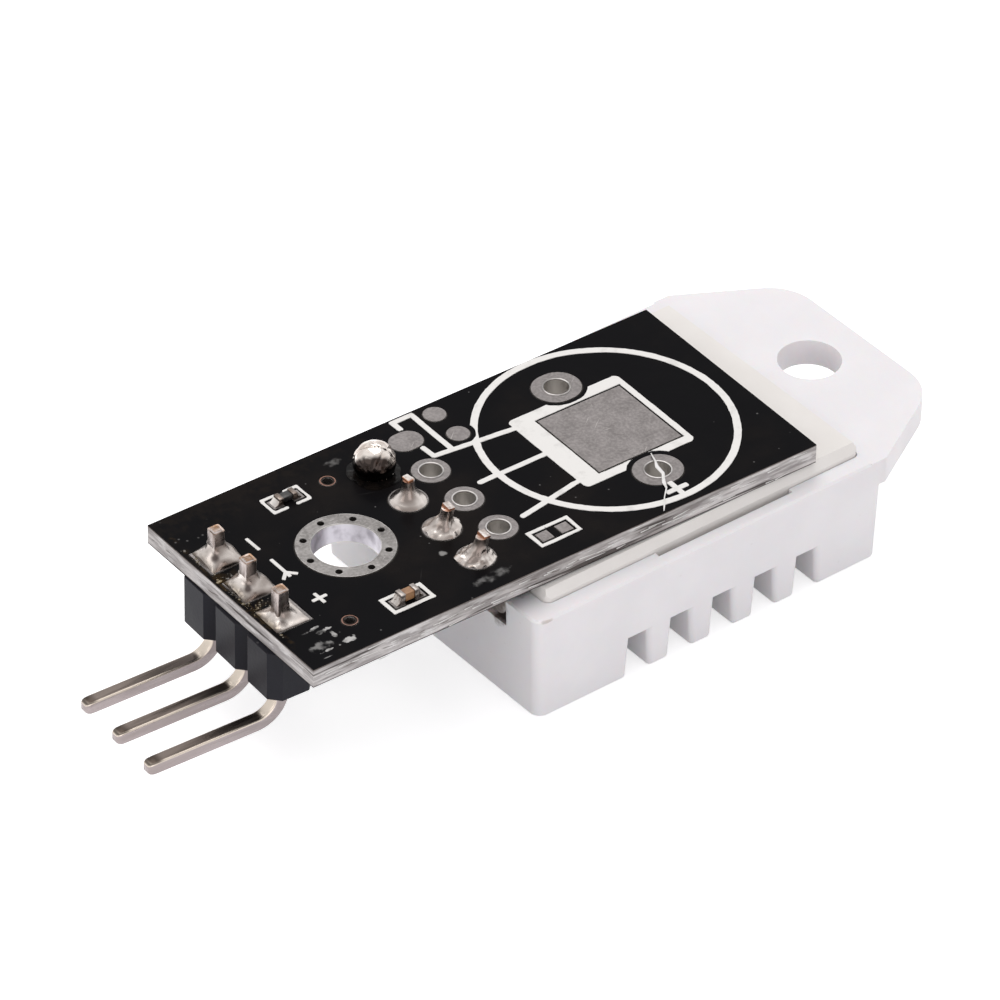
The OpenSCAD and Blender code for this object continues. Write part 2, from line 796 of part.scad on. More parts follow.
// Fillet of solder that thins out up the pin
module joint_profile() {
    neck = 0.3;
    steps = 6;
    rotate_extrude() polygon(concat([[0, 0], [joint_r, 0]],
        [for (i = [1 : steps]) let (t = i / steps)
            [neck + (joint_r - neck) * pow(1 - t, 2.3), joint_h * t]],
        [[0, joint_h]]));
}

module ball_profile() {
    waist = ball_h * 0.4;
    rise = ball_h - waist;
    steps = 12;
    start = -asin(waist / rise);
    rotate_extrude() polygon(concat([[0, 0]],
        [for (i = [0 : steps - 1]) let (a = start + (90 - start) * i / steps)
            [ball_r * cos(a), waist + rise * sin(a)]],
        [[0, ball_h]]));
}

module sensor_solder(n) {
    color(solder_colour) difference() {
        translate([pin_row_x, pin_row_y + sensor_pin_y(n), 0]) {
            cylinder(d = pin_hole_d, h = land_top + eps);
            translate([0, 0, land_top]) if (n == 1) ball_profile(); else joint_profile();
        }
        place_lead(n);
    }
}

module sensor_board() {
    color([0.16, 0.38, 0.22]) in_sensor() translate([inner_x0, -inner_half, inner_low_z])
        cube([inner_x1 - inner_x0, 2 * inner_half, inner_t]);
}

module humidity_element() {
    color([0.80, 0.78, 0.70]) in_sensor()
        translate([element_x - element_l / 2, -element_w / 2, inner_low_z - element_t])
            cube([element_l, element_w, element_t]);
}

module temperature_element() {
    color([0.12, 0.12, 0.12]) in_sensor()
        translate([bead_x - bead, bead_y - bead / 2, inner_low_z - bead])
            cube([2 * bead, bead, bead]);
}

module controller_chip() {
    leg_count = 7;
    leg_pitch = chip_l / leg_count;
    leg_w = 0.4;
    leg_l = 1.0;
    leg_h = chip_h * 0.4;
    color([0.13, 0.13, 0.14]) in_sensor() translate([chip_x, 0, inner_top_z]) {
        translate([-chip_l / 2, -chip_w / 2, 0]) cube([chip_l, chip_w, chip_h]);
        for (i = [0 : leg_count - 1], s = [-1, 1])
            translate([(i - (leg_count - 1) / 2) * leg_pitch - leg_w / 2,
                s > 0 ? chip_w / 2 - eps : -chip_w / 2 - leg_l + eps, 0])
                cube([leg_w, leg_l, leg_h]);
    }
}

module part_body(at, h) {
    inset = 0.04;
    translate([at.x - chip_part_l / 2 + cap_end, at.y - chip_part_w / 2 + inset, land_top + inset])
        cube([chip_part_l - 2 * cap_end, chip_part_w - 2 * inset, h - 2 * inset]);
}

module part_ends(at, h) {
    for (x = [-chip_part_l / 2, chip_part_l / 2 - cap_end])
        translate([at.x + x, at.y - chip_part_w / 2, land_top]) cube([cap_end, chip_part_w, h]);
}

// A wedge of solder at each end of a small component
module part_solder(at, h) {
    for (s = [-1, 1]) translate([at.x + s * chip_part_l / 2, at.y, land_top])
        rotate([90, 0, 0]) linear_extrude(chip_part_w, center = true)
            polygon([[0, 0], [s * fillet_l, 0], [s * fillet_l * 0.4, h * 0.3], [0, h * 0.75]]);
}

module resistor_body() {
    color([0.08, 0.08, 0.09]) part_body(resistor_at, resistor_h);
}

module resistor_ends() {
    color(tin_colour) part_ends(resistor_at, resistor_h);
}

module resistor_solder() {
    color(solder_colour) part_solder(resistor_at, resistor_h);
}

module capacitor_body() {
    color([0.55, 0.36, 0.20]) part_body(capacitor_at, capacitor_h);
}

module capacitor_ends() {
    color(tin_colour) part_ends(capacitor_at, capacitor_h);
}

module capacitor_solder() {
    color(solder_colour) part_solder(capacitor_at, capacitor_h);
}

board_laminate();
mask_top();
mask_bottom();
mount_ring();
plated_rings();
tinned_lands();
silkscreen();
header_housing();
header_pin(1);  // header_pin_1
header_pin(2);  // header_pin_2
header_pin(3);  // header_pin_3
header_solder(1);  // header_solder_1
header_solder(2);  // header_solder_2
header_solder(3);  // header_solder_3
sensor_housing();
sensor_lid();
sensor_pin(1);  // sensor_pin_1
sensor_pin(2);  // sensor_pin_2
sensor_pin(3);  // sensor_pin_3
sensor_pin(4);  // sensor_pin_4
sensor_solder(1);  // sensor_solder_1
sensor_solder(2);  // sensor_solder_2
sensor_solder(3);  // sensor_solder_3
sensor_solder(4);  // sensor_solder_4
sensor_board();
humidity_element();
temperature_element();
controller_chip();
resistor_body();
resistor_ends();
resistor_solder();
capacitor_body();
capacitor_ends();
capacitor_solder();
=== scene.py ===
"""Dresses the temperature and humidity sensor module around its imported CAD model.

Lengths are in millimetres unless a name or docstring says metres, and mm() turns them into
metres for Blender. The scales of patterns count per metre.
"""

import contextlib
import json
import logging
import math
from dataclasses import dataclass
from enum import Enum
from typing import Callable, Iterator, Sequence

import bmesh
import bpy
from mathutils import Matrix, Vector, noise

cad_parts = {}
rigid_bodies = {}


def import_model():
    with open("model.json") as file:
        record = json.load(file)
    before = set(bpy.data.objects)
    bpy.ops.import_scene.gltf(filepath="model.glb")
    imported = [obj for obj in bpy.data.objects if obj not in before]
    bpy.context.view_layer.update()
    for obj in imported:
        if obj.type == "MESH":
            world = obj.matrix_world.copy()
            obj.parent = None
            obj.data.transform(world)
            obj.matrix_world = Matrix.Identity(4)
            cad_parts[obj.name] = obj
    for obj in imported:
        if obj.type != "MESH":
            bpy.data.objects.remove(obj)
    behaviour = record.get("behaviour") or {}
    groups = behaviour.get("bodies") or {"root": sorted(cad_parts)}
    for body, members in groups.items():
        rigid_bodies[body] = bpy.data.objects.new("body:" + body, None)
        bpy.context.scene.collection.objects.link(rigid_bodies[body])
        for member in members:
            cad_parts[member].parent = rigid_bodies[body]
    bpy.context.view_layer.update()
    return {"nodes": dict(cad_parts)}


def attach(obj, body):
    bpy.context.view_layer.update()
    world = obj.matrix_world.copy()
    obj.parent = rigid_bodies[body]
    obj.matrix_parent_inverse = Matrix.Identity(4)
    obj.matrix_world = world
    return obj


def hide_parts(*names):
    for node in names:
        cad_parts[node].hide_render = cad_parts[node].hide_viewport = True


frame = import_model()

LOG = logging.getLogger("sensor_module")
MM = 0.001
BODY = "root"
Colour = tuple[float, float, float]
Point = tuple[float, float, float]
Numbers = tuple[float, ...]
Piece = bpy.types.Object
Material = bpy.types.Material
Tree = bpy.types.NodeTree
Node = bpy.types.Node
Socket = bpy.types.NodeSocket
UP: Point = (0.0, 0.0, 1.0)
PITCH = 2.54
SAME_SPOT = 1e-6
SOFT_ANGLE = 40.0
SEED_STEPS: Point = (7.3, 3.1, 5.7)


class Pick(Enum):
    """What a selection in edit mode is made of."""

    FACES = "FACE"
    EDGES = "EDGE"
    VERTS = "VERT"


class Gloss(Enum):
    """How dull a moulded plastic is."""

    SATIN = 0.42
    MATT = 0.6


def mm(*values: float) -> Numbers:
    """Returns millimetres as metres."""
    return tuple(value * MM for value in values)


def unit(value: float) -> float:
    """Returns a value kept between 0 and 1."""
    return min(1.0, max(0.0, value))


# ---- the bench: modelling steps that all pieces share


def deselect_all() -> None:
    """Leaves nothing selected."""
    if bpy.context.object and bpy.context.object.mode != "OBJECT":
        bpy.ops.object.mode_set(mode="OBJECT")
    bpy.ops.object.select_all(action="DESELECT")


def take(piece: Piece) -> None:
    """Selects one piece alone and makes it active."""
    deselect_all()
    piece.select_set(True)
    bpy.context.view_layer.objects.active = piece


@contextlib.contextmanager
def editing(piece: Piece, pick: Pick = Pick.FACES) -> Iterator[bmesh.types.BMesh]:
    """Opens a piece in edit mode with nothing selected.

    Args:
        piece: The mesh to edit.
        pick: The kind of element that is selected.

    Returns:
        An iterator that gives the mesh being edited once.
    """
    take(piece)
    bpy.ops.object.mode_set(mode="EDIT")
    bpy.ops.mesh.select_mode(type=pick.value)
    bpy.ops.mesh.select_all(action="DESELECT")
    try:
        yield bmesh.from_edit_mesh(piece.data)
    finally:
        bpy.ops.object.mode_set(mode="OBJECT")


def add(operator: Callable[..., object], **values: object) -> Piece:
    """Adds an object with one of Blender's operators.

    Args:
        operator: The operator.
        values: Its settings.

    Returns:
        The new object.
    """
    deselect_all()
    operator(**values)
    return bpy.context.object


def settle(piece: Piece) -> Piece:
    """Puts a piece's place, turn and size into its mesh, and returns it."""
    take(piece)
    bpy.ops.object.transform_apply(location=True, rotation=True, scale=True)
    return piece


def select_all() -> None:
    """Selects all of the mesh being edited."""
    bpy.ops.mesh.select_all(action="SELECT")


def extrude(step: Sequence[float]) -> None:
    """Extrudes the selected faces by a step in metres."""
    bpy.ops.mesh.extrude_region_move(TRANSFORM_OT_translate={"value": tuple(step)})


def resize(size: Sequence[float], centre: Sequence[float]) -> None:
    """Scales what is selected about a point in metres."""
    bpy.ops.transform.resize(value=size, center_override=centre)


def apply_all(piece: Piece) -> None:
    """Applies every modifier on a piece."""
    take(piece)
    for modifier in list(piece.modifiers):
        bpy.ops.object.modifier_apply(modifier=modifier.name)


def smooth(piece: Piece, angle: float = 35.0) -> None:
    """Shades a piece smooth where its faces meet at less than an angle in degrees."""
    take(piece)
    bpy.ops.object.shade_smooth_by_angle(angle=math.radians(angle))


def face_outwards(piece: Piece) -> None:
    """Merges doubled corners and turns all faces outwards."""
    with editing(piece):
        select_all()
        bpy.ops.mesh.remove_doubles(threshold=SAME_SPOT)
        bpy.ops.mesh.normals_make_consistent(inside=False)


def dress(piece: Piece, material: Material) -> None:
    """Gives a piece one material."""
    if not piece.data.materials:
        piece.data.materials.append(material)
    for place in range(len(piece.data.materials)):
        piece.data.materials[place] = material


def finish_piece(piece: Piece, name: str, finish: "Finish", slot: str, *nodes: str) -> Piece:
    """Names a finished piece, dresses it and lets it ride on the object.

    Args:
        piece: The finished mesh.
        name: Its name.
        finish: Its finish.
        slot: The record's material slot; not used.
        nodes: The CAD nodes that it stands for.

    Returns:
        The piece.
    """
    piece.name = piece.data.name = name
    dress(piece, finish.material())
    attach(piece, BODY)
    if nodes:
        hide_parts(*nodes)
    LOG.info("%s: %d faces", name, len(piece.data.polygons))
    return piece


def flatten_flats(piece: Piece, angle: float = 35.0) -> None:
    """Shades a rounded piece so that its large flat faces stay flat."""
    smooth(piece, angle)
    weighted = piece.modifiers.new("flat faces", "WEIGHTED_NORMAL")
    weighted.keep_sharp = True
    apply_all(piece)


def copied(node: str, merge: float = 0.02, flat: float = 0.6) -> Piece:
    """Copies a CAD node and cleans its mesh.

    Args:
        node: The CAD node to copy.
        merge: Corners nearer than this, in millimetres, become one.
        flat: Faces turned by less than this many degrees become one.

    Returns:
        The copy.
    """
    take(frame["nodes"][node])
    bpy.ops.object.duplicate()
    copy = bpy.context.object
    bpy.ops.object.parent_clear(type="CLEAR_KEEP_TRANSFORM")
    with editing(copy, Pick.VERTS):
        select_all()
        bpy.ops.mesh.remove_doubles(threshold=merge * MM)
        bpy.ops.mesh.dissolve_limited(angle_limit=math.radians(flat))
        bpy.ops.mesh.customdata_custom_splitnormals_clear()
    return copy


def round_edges(piece: Piece, wanted: Callable[[Vector, float], bool], width: float,
                segments: int) -> int:
    """Rounds chosen edges of a piece.

    Args:
        piece: The mesh.
        wanted: Says from an edge's middle and its angle in degrees whether it is rounded.
        width: Width of the rounding, in millimetres.
        segments: Faces across each rounding.

    Returns:
        How many edges were rounded.
    """
    with editing(piece, Pick.EDGES) as mesh:
        count = 0
        for edge in mesh.edges:
            middle = (edge.verts[0].co + edge.verts[1].co) / 2
            turn = math.degrees(edge.calc_face_angle(0.0))
            edge.select_set(edge.is_manifold and wanted(middle, turn))
            count += edge.select
        bmesh.update_edit_mesh(piece.data)
        bpy.ops.mesh.bevel(offset=width * MM, segments=segments, affect="EDGES",
                           clamp_overlap=False)
    return count


def softened(piece: Piece, width: float, segments: int = 3, sharp: float = 38.0) -> Piece:
    """Rounds all sharp edges of a piece.

    Args:
        piece: The mesh.
        width: Width of the rounding, in millimetres.
        segments: Faces across each rounding.
        sharp: Edges turned by more than this many degrees are rounded.

    Returns:
        The piece.
    """
    soft = piece.modifiers.new("soft edges", "BEVEL")
    soft.width = width * MM
    soft.segments = segments
    soft.limit_method = "ANGLE"
    soft.angle_limit = math.radians(sharp)
    soft.use_clamp_overlap = True
    apply_all(piece)
    flatten_flats(piece, SOFT_ANGLE)
    return piece


def join_all(parts: Sequence[Piece]) -> Piece:
    """Joins pieces into one and returns it."""
    deselect_all()
    for part in parts:
        part.select_set(True)
    bpy.context.view_layer.objects.active = parts[0]
    bpy.ops.object.join()
    settle(bpy.context.object)
    return bpy.context.object


def chance(number: int, *salt: float) -> float:
    """Returns a fixed pick from -1 to 1 for a number."""
    spot = Vector((number * 3.713 + 0.37, number * 1.917 + sum(salt) * 2.31, sum(salt) + 0.61))
    return max(-1.0, min(1.0, noise.noise(spot) * 1.8))


def roughen(piece: Piece, size: float, depth: float, seed: int,
            wanted: Callable[[Vector], float]) -> None:
    """Moves corners of a mesh in and out as hand-made solder does.

    Args:
        piece: The mesh.
        size: Size of the lumps, in millimetres.
        depth: Height of the lumps, in millimetres.
        seed: Shifts the pattern, so that copies differ.
        wanted: Gives from a corner's place how much of the movement it takes.
    """
    for vert in piece.data.vertices:
        where = vert.co / (size * MM) + Vector([seed * step for step in SEED_STEPS])
        lift = noise.fractal(where, 1.0, 2.0, 3) * depth * MM * wanted(vert.co)
        vert.co += vert.normal * lift


# ---- node groups: effects that several finishes share


class NodeDesk:
    """Places and joins shader nodes in one tree, and builds up one base colour."""

    def __init__(self, tree: Tree) -> None:
        """Keeps the tree that nodes are placed in."""
        self.tree = tree
        self.colour: object = (0.5, 0.5, 0.5)

    def put(self, kind: str, values: dict[str | int, object] | None = None,
            **settings: object) -> Node:
        """Places a node.

        Args:
            kind: The node's type.
            values: Values for its sockets, or output sockets to join to them.
            settings: Its other settings.

        Returns:
            The node.
        """
        node = self.tree.nodes.new(kind)
        for name, value in settings.items():
            setattr(node, name, value)
        self.fill(node, values or {})
        return node

    def fill(self, node: Node, values: dict[str | int, object]) -> None:
        """Sets or joins a node's sockets."""
        for socket, value in values.items():
            if isinstance(value, Socket):
                self.tree.links.new(value, node.inputs[socket])
            else:
                node.inputs[socket].default_value = value

    def maths(self, operation: str, *values: object) -> Socket:
        """Returns the result of a Math node."""
        return self.put("ShaderNodeMath", dict(enumerate(values)), operation=operation).outputs[0]

    def times(self, first: object, *others: object) -> Socket:
        """Returns the product of values."""
        for other in others:
            first = self.maths("MULTIPLY", first, other)
        return first

    def most(self, first: object, *others: object) -> Socket:
        """Returns the largest of values."""
        for other in others:
            first = self.maths("MAXIMUM", first, other)
        return first

    def plus(self, first: object, second: object) -> Socket:
        """Returns the sum of two values."""
        return self.maths("ADD", first, second)

    def minus(self, first: object, second: object) -> Socket:
        """Returns the difference of two values."""
        return self.maths("SUBTRACT", first, second)

    def below(self, first: object, second: object) -> Socket:
        """Returns 1 where the first value is less than the second."""
        return self.maths("LESS_THAN", first, second)

    def size(self, value: Socket) -> Socket:
        """Returns a value without its sign."""
        return self.maths("ABSOLUTE", value)

    def ramp(self, value: Socket, low: object, high: object, start: object = 0.0,
             end: object = 1.0) -> Socket:
        """Returns a value eased from one range to another."""
        return self.put("ShaderNodeMapRange", {0: value, 1: low, 2: high, 3: start, 4: end},
                        interpolation_type="SMOOTHSTEP").outputs[0]

    def blend(self, factor: object, first: object, second: object) -> Socket:
        """Returns two colours mixed by a factor."""
        pair = [value if isinstance(value, Socket) else (*value, 1.0) for value in (first, second)]
        return self.put("ShaderNodeMix", {0: factor, 6: pair[0], 7: pair[1]},
                        data_type="RGBA").outputs[2]

    def coat(self, mask: Socket, tint: object, share: float = 1.0) -> None:
        """Lays a tint over the base colour.

        Args:
            mask: Where the tint lies.
            tint: The tint.
            share: How much of it shows at most.
        """
        mask = mask if share == 1.0 else self.times(mask, share)
        self.colour = self.blend(mask, self.colour, tint)

    def where(self) -> Socket:
        """Returns the shaded point in the object's own coordinates."""
        return self.put("ShaderNodeTexCoord").outputs["Object"]

    def place(self) -> tuple[Socket, ...]:
        """Returns x, y and z of the shaded point, in metres."""
        return tuple(self.put("ShaderNodeSeparateXYZ", {0: self.where()}).outputs)

    def vector(self, operation: str, *values: object, out: int = 0) -> Socket:
        """Returns the result of a Vector Math node."""
        return self.put("ShaderNodeVectorMath", dict(enumerate(values)),
                        operation=operation).outputs[out]

    def facing(self, way: Point) -> Socket:
        """Returns how much the surface faces a way, from -1 to 1."""
        normal = self.put("ShaderNodeTexCoord").outputs["Normal"]
        return self.vector("DOT_PRODUCT", normal, way, out=1)

    def grain(self, scale: object, detail: object, where: Socket | None = None) -> Socket:
        """Returns plain noise."""
        return self.put("ShaderNodeTexNoise", {
            "Vector": self.where() if where is None else where, "Scale": scale,
            "Detail": detail}).outputs[0]

    def bump(self, height: Socket, depth: float) -> Socket:
        """Returns the normal of a relief so many millimetres deep."""
        return self.put("ShaderNodeBump", {"Height": height, "Distance": depth * MM}).outputs[0]

    def effect(self, group: Tree, *values: object) -> Socket:
        """Returns the output of a node group placed with its own values."""
        node = self.put("ShaderNodeGroup", dict(enumerate(values)), node_tree=group)
        return node.outputs[0]

    def mottle(self, scale: float, low: float = 0.35, high: float = 0.65, detail: float = 4.0,
               stretch: Point = (1.0, 1.0, 1.0)) -> Socket:
        """Returns cloudy patches between two levels."""
        return self.effect(EFFECTS.mottle, scale, stretch, low, high, detail)

    def specks(self, scale: float, size: float, amount: float) -> Socket:
        """Returns small scattered spots."""
        return self.effect(EFFECTS.specks, scale, size, amount)

    def scratches(self, scale: float, angle: float, amount: float) -> Socket:
        """Returns fine straight scratches."""
        return self.effect(EFFECTS.scratches, scale, angle, amount)

    def patch(self, place: Sequence[float], reach: Sequence[float], ragged: float, soft: float
              ) -> Socket:
        """Returns one ragged patch.

        Args:
            place: Its middle, in millimetres.
            reach: How far it goes each way, in millimetres.
            ragged: How uneven its edge is.
            soft: How soft its edge is.

        Returns:
            Where it lies.
        """
        return self.effect(EFFECTS.patch, mm(*place), mm(*reach), ragged, soft)


def new_group(name: str, **inputs: object) -> tuple[NodeDesk, list[Socket], Callable[..., Tree]]:
    """Starts a node group with one output, Mask.

    Args:
        name: The group's name.
        inputs: Starting value of each input.

    Returns:
        The desk for its tree, its inputs, and what ends it with the mask and gives its tree.
    """
    tree = bpy.data.node_groups.new(name, "ShaderNodeTree")
    for label, value in inputs.items():
        kind = "NodeSocketVector" if isinstance(value, tuple) else "NodeSocketFloat"
        tree.interface.new_socket(label, in_out="INPUT", socket_type=kind).default_value = value
    tree.interface.new_socket("Mask", in_out="OUTPUT", socket_type="NodeSocketFloat")
    desk = NodeDesk(tree)
    given, result = desk.put("NodeGroupInput"), desk.put("NodeGroupOutput")

    def end(mask: Socket) -> Tree:
        tree.links.new(mask, result.inputs[0])
        return tree
    return desk, list(given.outputs), end


class Effects:
    """The node groups, each built once."""

    def __init__(self) -> None:
        """Builds the groups."""
        self.specks = self.build_specks()
        self.mottle = self.build_mottle()
        self.scratches = self.build_scratches()
        self.patch = self.build_patch()

    @staticmethod
    def build_specks() -> Tree:
        """Returns a group that scatters small spots, such as dust or lint."""
        desk, (scale, size, amount, *_), end = new_group("specks", Scale=3000.0, Size=0.2,
                                                         Amount=0.3)
        cells = desk.put("ShaderNodeTexVoronoi", {"Vector": desk.where(), "Scale": scale})
        dot = desk.ramp(cells.outputs["Distance"], size, desk.times(size, 0.35))
        draw = desk.put("ShaderNodeSeparateColor", {0: cells.outputs["Color"]}).outputs[0]
        return end(desk.times(dot, desk.below(draw, amount)))

    @staticmethod
    def build_mottle() -> Tree:
        """Returns a group of cloudy patches between two levels."""
        desk, (scale, stretch, low, high, detail, *_), end = new_group(
            "mottle", Scale=1000.0, Stretch=(1.0, 1.0, 1.0), Low=0.35, High=0.65, Detail=4.0)
        drawn = desk.vector("MULTIPLY", desk.where(), stretch)
        return end(desk.ramp(desk.grain(scale, detail, drawn), low, high))

    @staticmethod
    def build_scratches() -> Tree:
        """Returns a group of fine straight scratches in two directions."""
        desk, (scale, angle, amount, *_), end = new_group("scratches", Scale=2000.0, Angle=0.6,
                                                          Amount=0.3)
        lines = []
        for turn in (1.0, -1.7):
            turned = desk.put("ShaderNodeVectorRotate", {
                "Vector": desk.where(), "Angle": desk.times(angle, turn)},
                rotation_type="Z_AXIS").outputs[0]
            grain = desk.grain(scale, 2.0, desk.vector("MULTIPLY", turned, (1.0, 0.09, 1.0)))
            edge = desk.minus(0.86, desk.times(amount, 0.3))
            lines.append(desk.ramp(grain, edge, desk.plus(edge, 0.05)))
        return end(desk.most(*lines))

    @staticmethod
    def build_patch() -> Tree:
        """Returns a group that marks one ragged patch at a place, such as a stain."""
        desk, (place, reach, ragged, soft, *_), end = new_group(
            "patch", Place=(0.0, 0.0, 0.0), Reach=(0.001, 0.001, 0.001), Ragged=0.4, Soft=0.3)
        away = desk.vector("SUBTRACT", desk.where(), place)
        length = desk.vector("LENGTH", desk.vector("DIVIDE", away, reach), out=1)
        shake = desk.times(desk.minus(desk.grain(2600.0, 4.0), 0.5), desk.times(ragged, 4.0))
        return end(desk.ramp(desk.plus(length, shake), 1.0, desk.minus(1.0, soft)))


EFFECTS = Effects()


# ---- finishes


class Finish:
    """A finish that builds its material once."""

    name = "finish"

    def paint(self, desk: NodeDesk) -> dict[str, object]:
        """Builds up the desk's base colour.

        Args:
            desk: The desk of the material's tree.

        Returns:
            What the shader's other sockets get.
        """
        raise NotImplementedError

    def material(self) -> Material:
        """Returns the material, built the first time it is asked for."""
        made = bpy.data.materials.get(self.name)
        if made is None:
            made = bpy.data.materials.new(self.name)
            made.use_nodes = True
            desk = NodeDesk(made.node_tree)
            values = self.paint(desk)
            desk.fill(made.node_tree.nodes["Principled BSDF"],
                      {"Base Color": desk.colour, **values})
        return made


@dataclass(frozen=True)
class Stain:
    """One stain on the lacquer, in millimetres."""

    x: float
    y: float
    reach_x: float
    reach_y: float
    strength: float = 0.8
    ragged: float = 0.5
    soft: float = 0.6


@dataclass(frozen=True)
class MaskFinish(Finish):
    """Glossy black lacquer of the board, with dust, scratches, dried flux and a painted brownish
    sheen near its far edge.
    """

    name: str = "black_solder_mask"
    shine: float = 0.022
    black: Colour = (0.0050, 0.0048, 0.0056)
    brown: Colour = (0.017, 0.0125, 0.010)
    dust: Colour = (0.20, 0.195, 0.19)
    flux: Colour = (0.50, 0.49, 0.475)
    amber: Colour = (0.05, 0.031, 0.012)
    pale_stains: tuple[Stain, ...] = (
        Stain(-4.21, -4.33, 0.36, 0.16, 1.0, 0.7, 0.25),
        Stain(-4.52, -3.95, 0.3, 0.09, 1.0, 0.7, 0.3),
        Stain(-5.05, -4.02, 0.45, 0.09, 0.9, 0.7, 0.3), Stain(-5.0, -5.2, 0.7, 0.3, 0.4, 0.8),
        Stain(-4.85, -5.55, 0.45, 0.11, 1.0, 0.7, 0.25),
        Stain(-3.79, -5.5, 0.3, 0.22, 1.0, 0.7, 0.25), Stain(-5.17, -5.95, 0.3, 0.06, 0.9),
        Stain(-4.1, -4.75, 0.12, 0.3, 0.9, 0.7, 0.3), Stain(3.14, -2.96, 0.2, 0.2, 0.5),
        Stain(3.9, -5.5, 0.95, 0.32, 0.3), Stain(2.9, 5.25, 0.55, 0.3, 0.22))
    dark_stains: tuple[Stain, ...] = (
        Stain(-6.0, 0.2, 0.3, 4.4, 0.55, 0.6), Stain(-5.4, -1.27, 0.7, 0.35, 0.3, 0.7),
        Stain(-5.4, 1.27, 0.7, 0.35, 0.25, 0.7))

    @staticmethod
    def stains(desk: NodeDesk, marks: tuple[Stain, ...], streak: Socket) -> Socket:
        """Returns where stains lie, broken up by a streaky pattern."""
        lie = desk.most(*(desk.times(desk.patch(
            (mark.x, mark.y, 1), (mark.reach_x, mark.reach_y, 2), mark.ragged, mark.soft),
            mark.strength) for mark in marks))
        return desk.times(lie, streak)

    def paint(self, desk: NodeDesk) -> dict[str, object]:
        """Lays haze, a painted sheen, flux, dust and scratches over the lacquer."""
        cloud = desk.mottle(260.0, 0.45, 0.8)
        # Painted sheen: a brownish glow over the lacquer near its far edge, laid with the real
        # brown haze.
        edge = desk.patch((-2.0, 6.6, 1), (9, 2.2, 4), 0.5, 0.9)
        desk.colour = self.black
        desk.coat(desk.most(cloud, edge), self.brown, 0.5)
        streaks = desk.mottle(1500.0, 0.36, 0.6, 3.0)
        amber = self.stains(desk, self.dark_stains, streaks)
        desk.coat(amber, self.amber)
        stain = self.stains(desk, self.pale_stains, streaks)
        desk.coat(stain, self.flux)
        corner = desk.patch((-5.4, 4.4, 1), (1.9, 2.0, 4), 0.5, 0.9)
        crumbs = desk.times(desk.specks(3800.0, 0.3, 0.16), corner)
        spots = desk.most(desk.specks(2600.0, 0.15, 0.06), crumbs, desk.specks(1300.0, 0.09, 0.10))
        dirt = desk.most(desk.times(spots, 0.5), desk.times(desk.scratches(3400.0, 0.7, 0.3), 0.07))
        desk.coat(dirt, self.dust)
        relief = desk.plus(desk.grain(700.0, 3.0), desk.times(desk.plus(stain, amber), 0.8))
        return {"Roughness": desk.plus(desk.ramp(cloud, 0.0, 1.0, 0.2, 0.32),
                                       desk.times(desk.most(dirt, stain), 0.4)),
                "Specular IOR Level": self.shine, "Normal": desk.bump(relief, 0.02)}


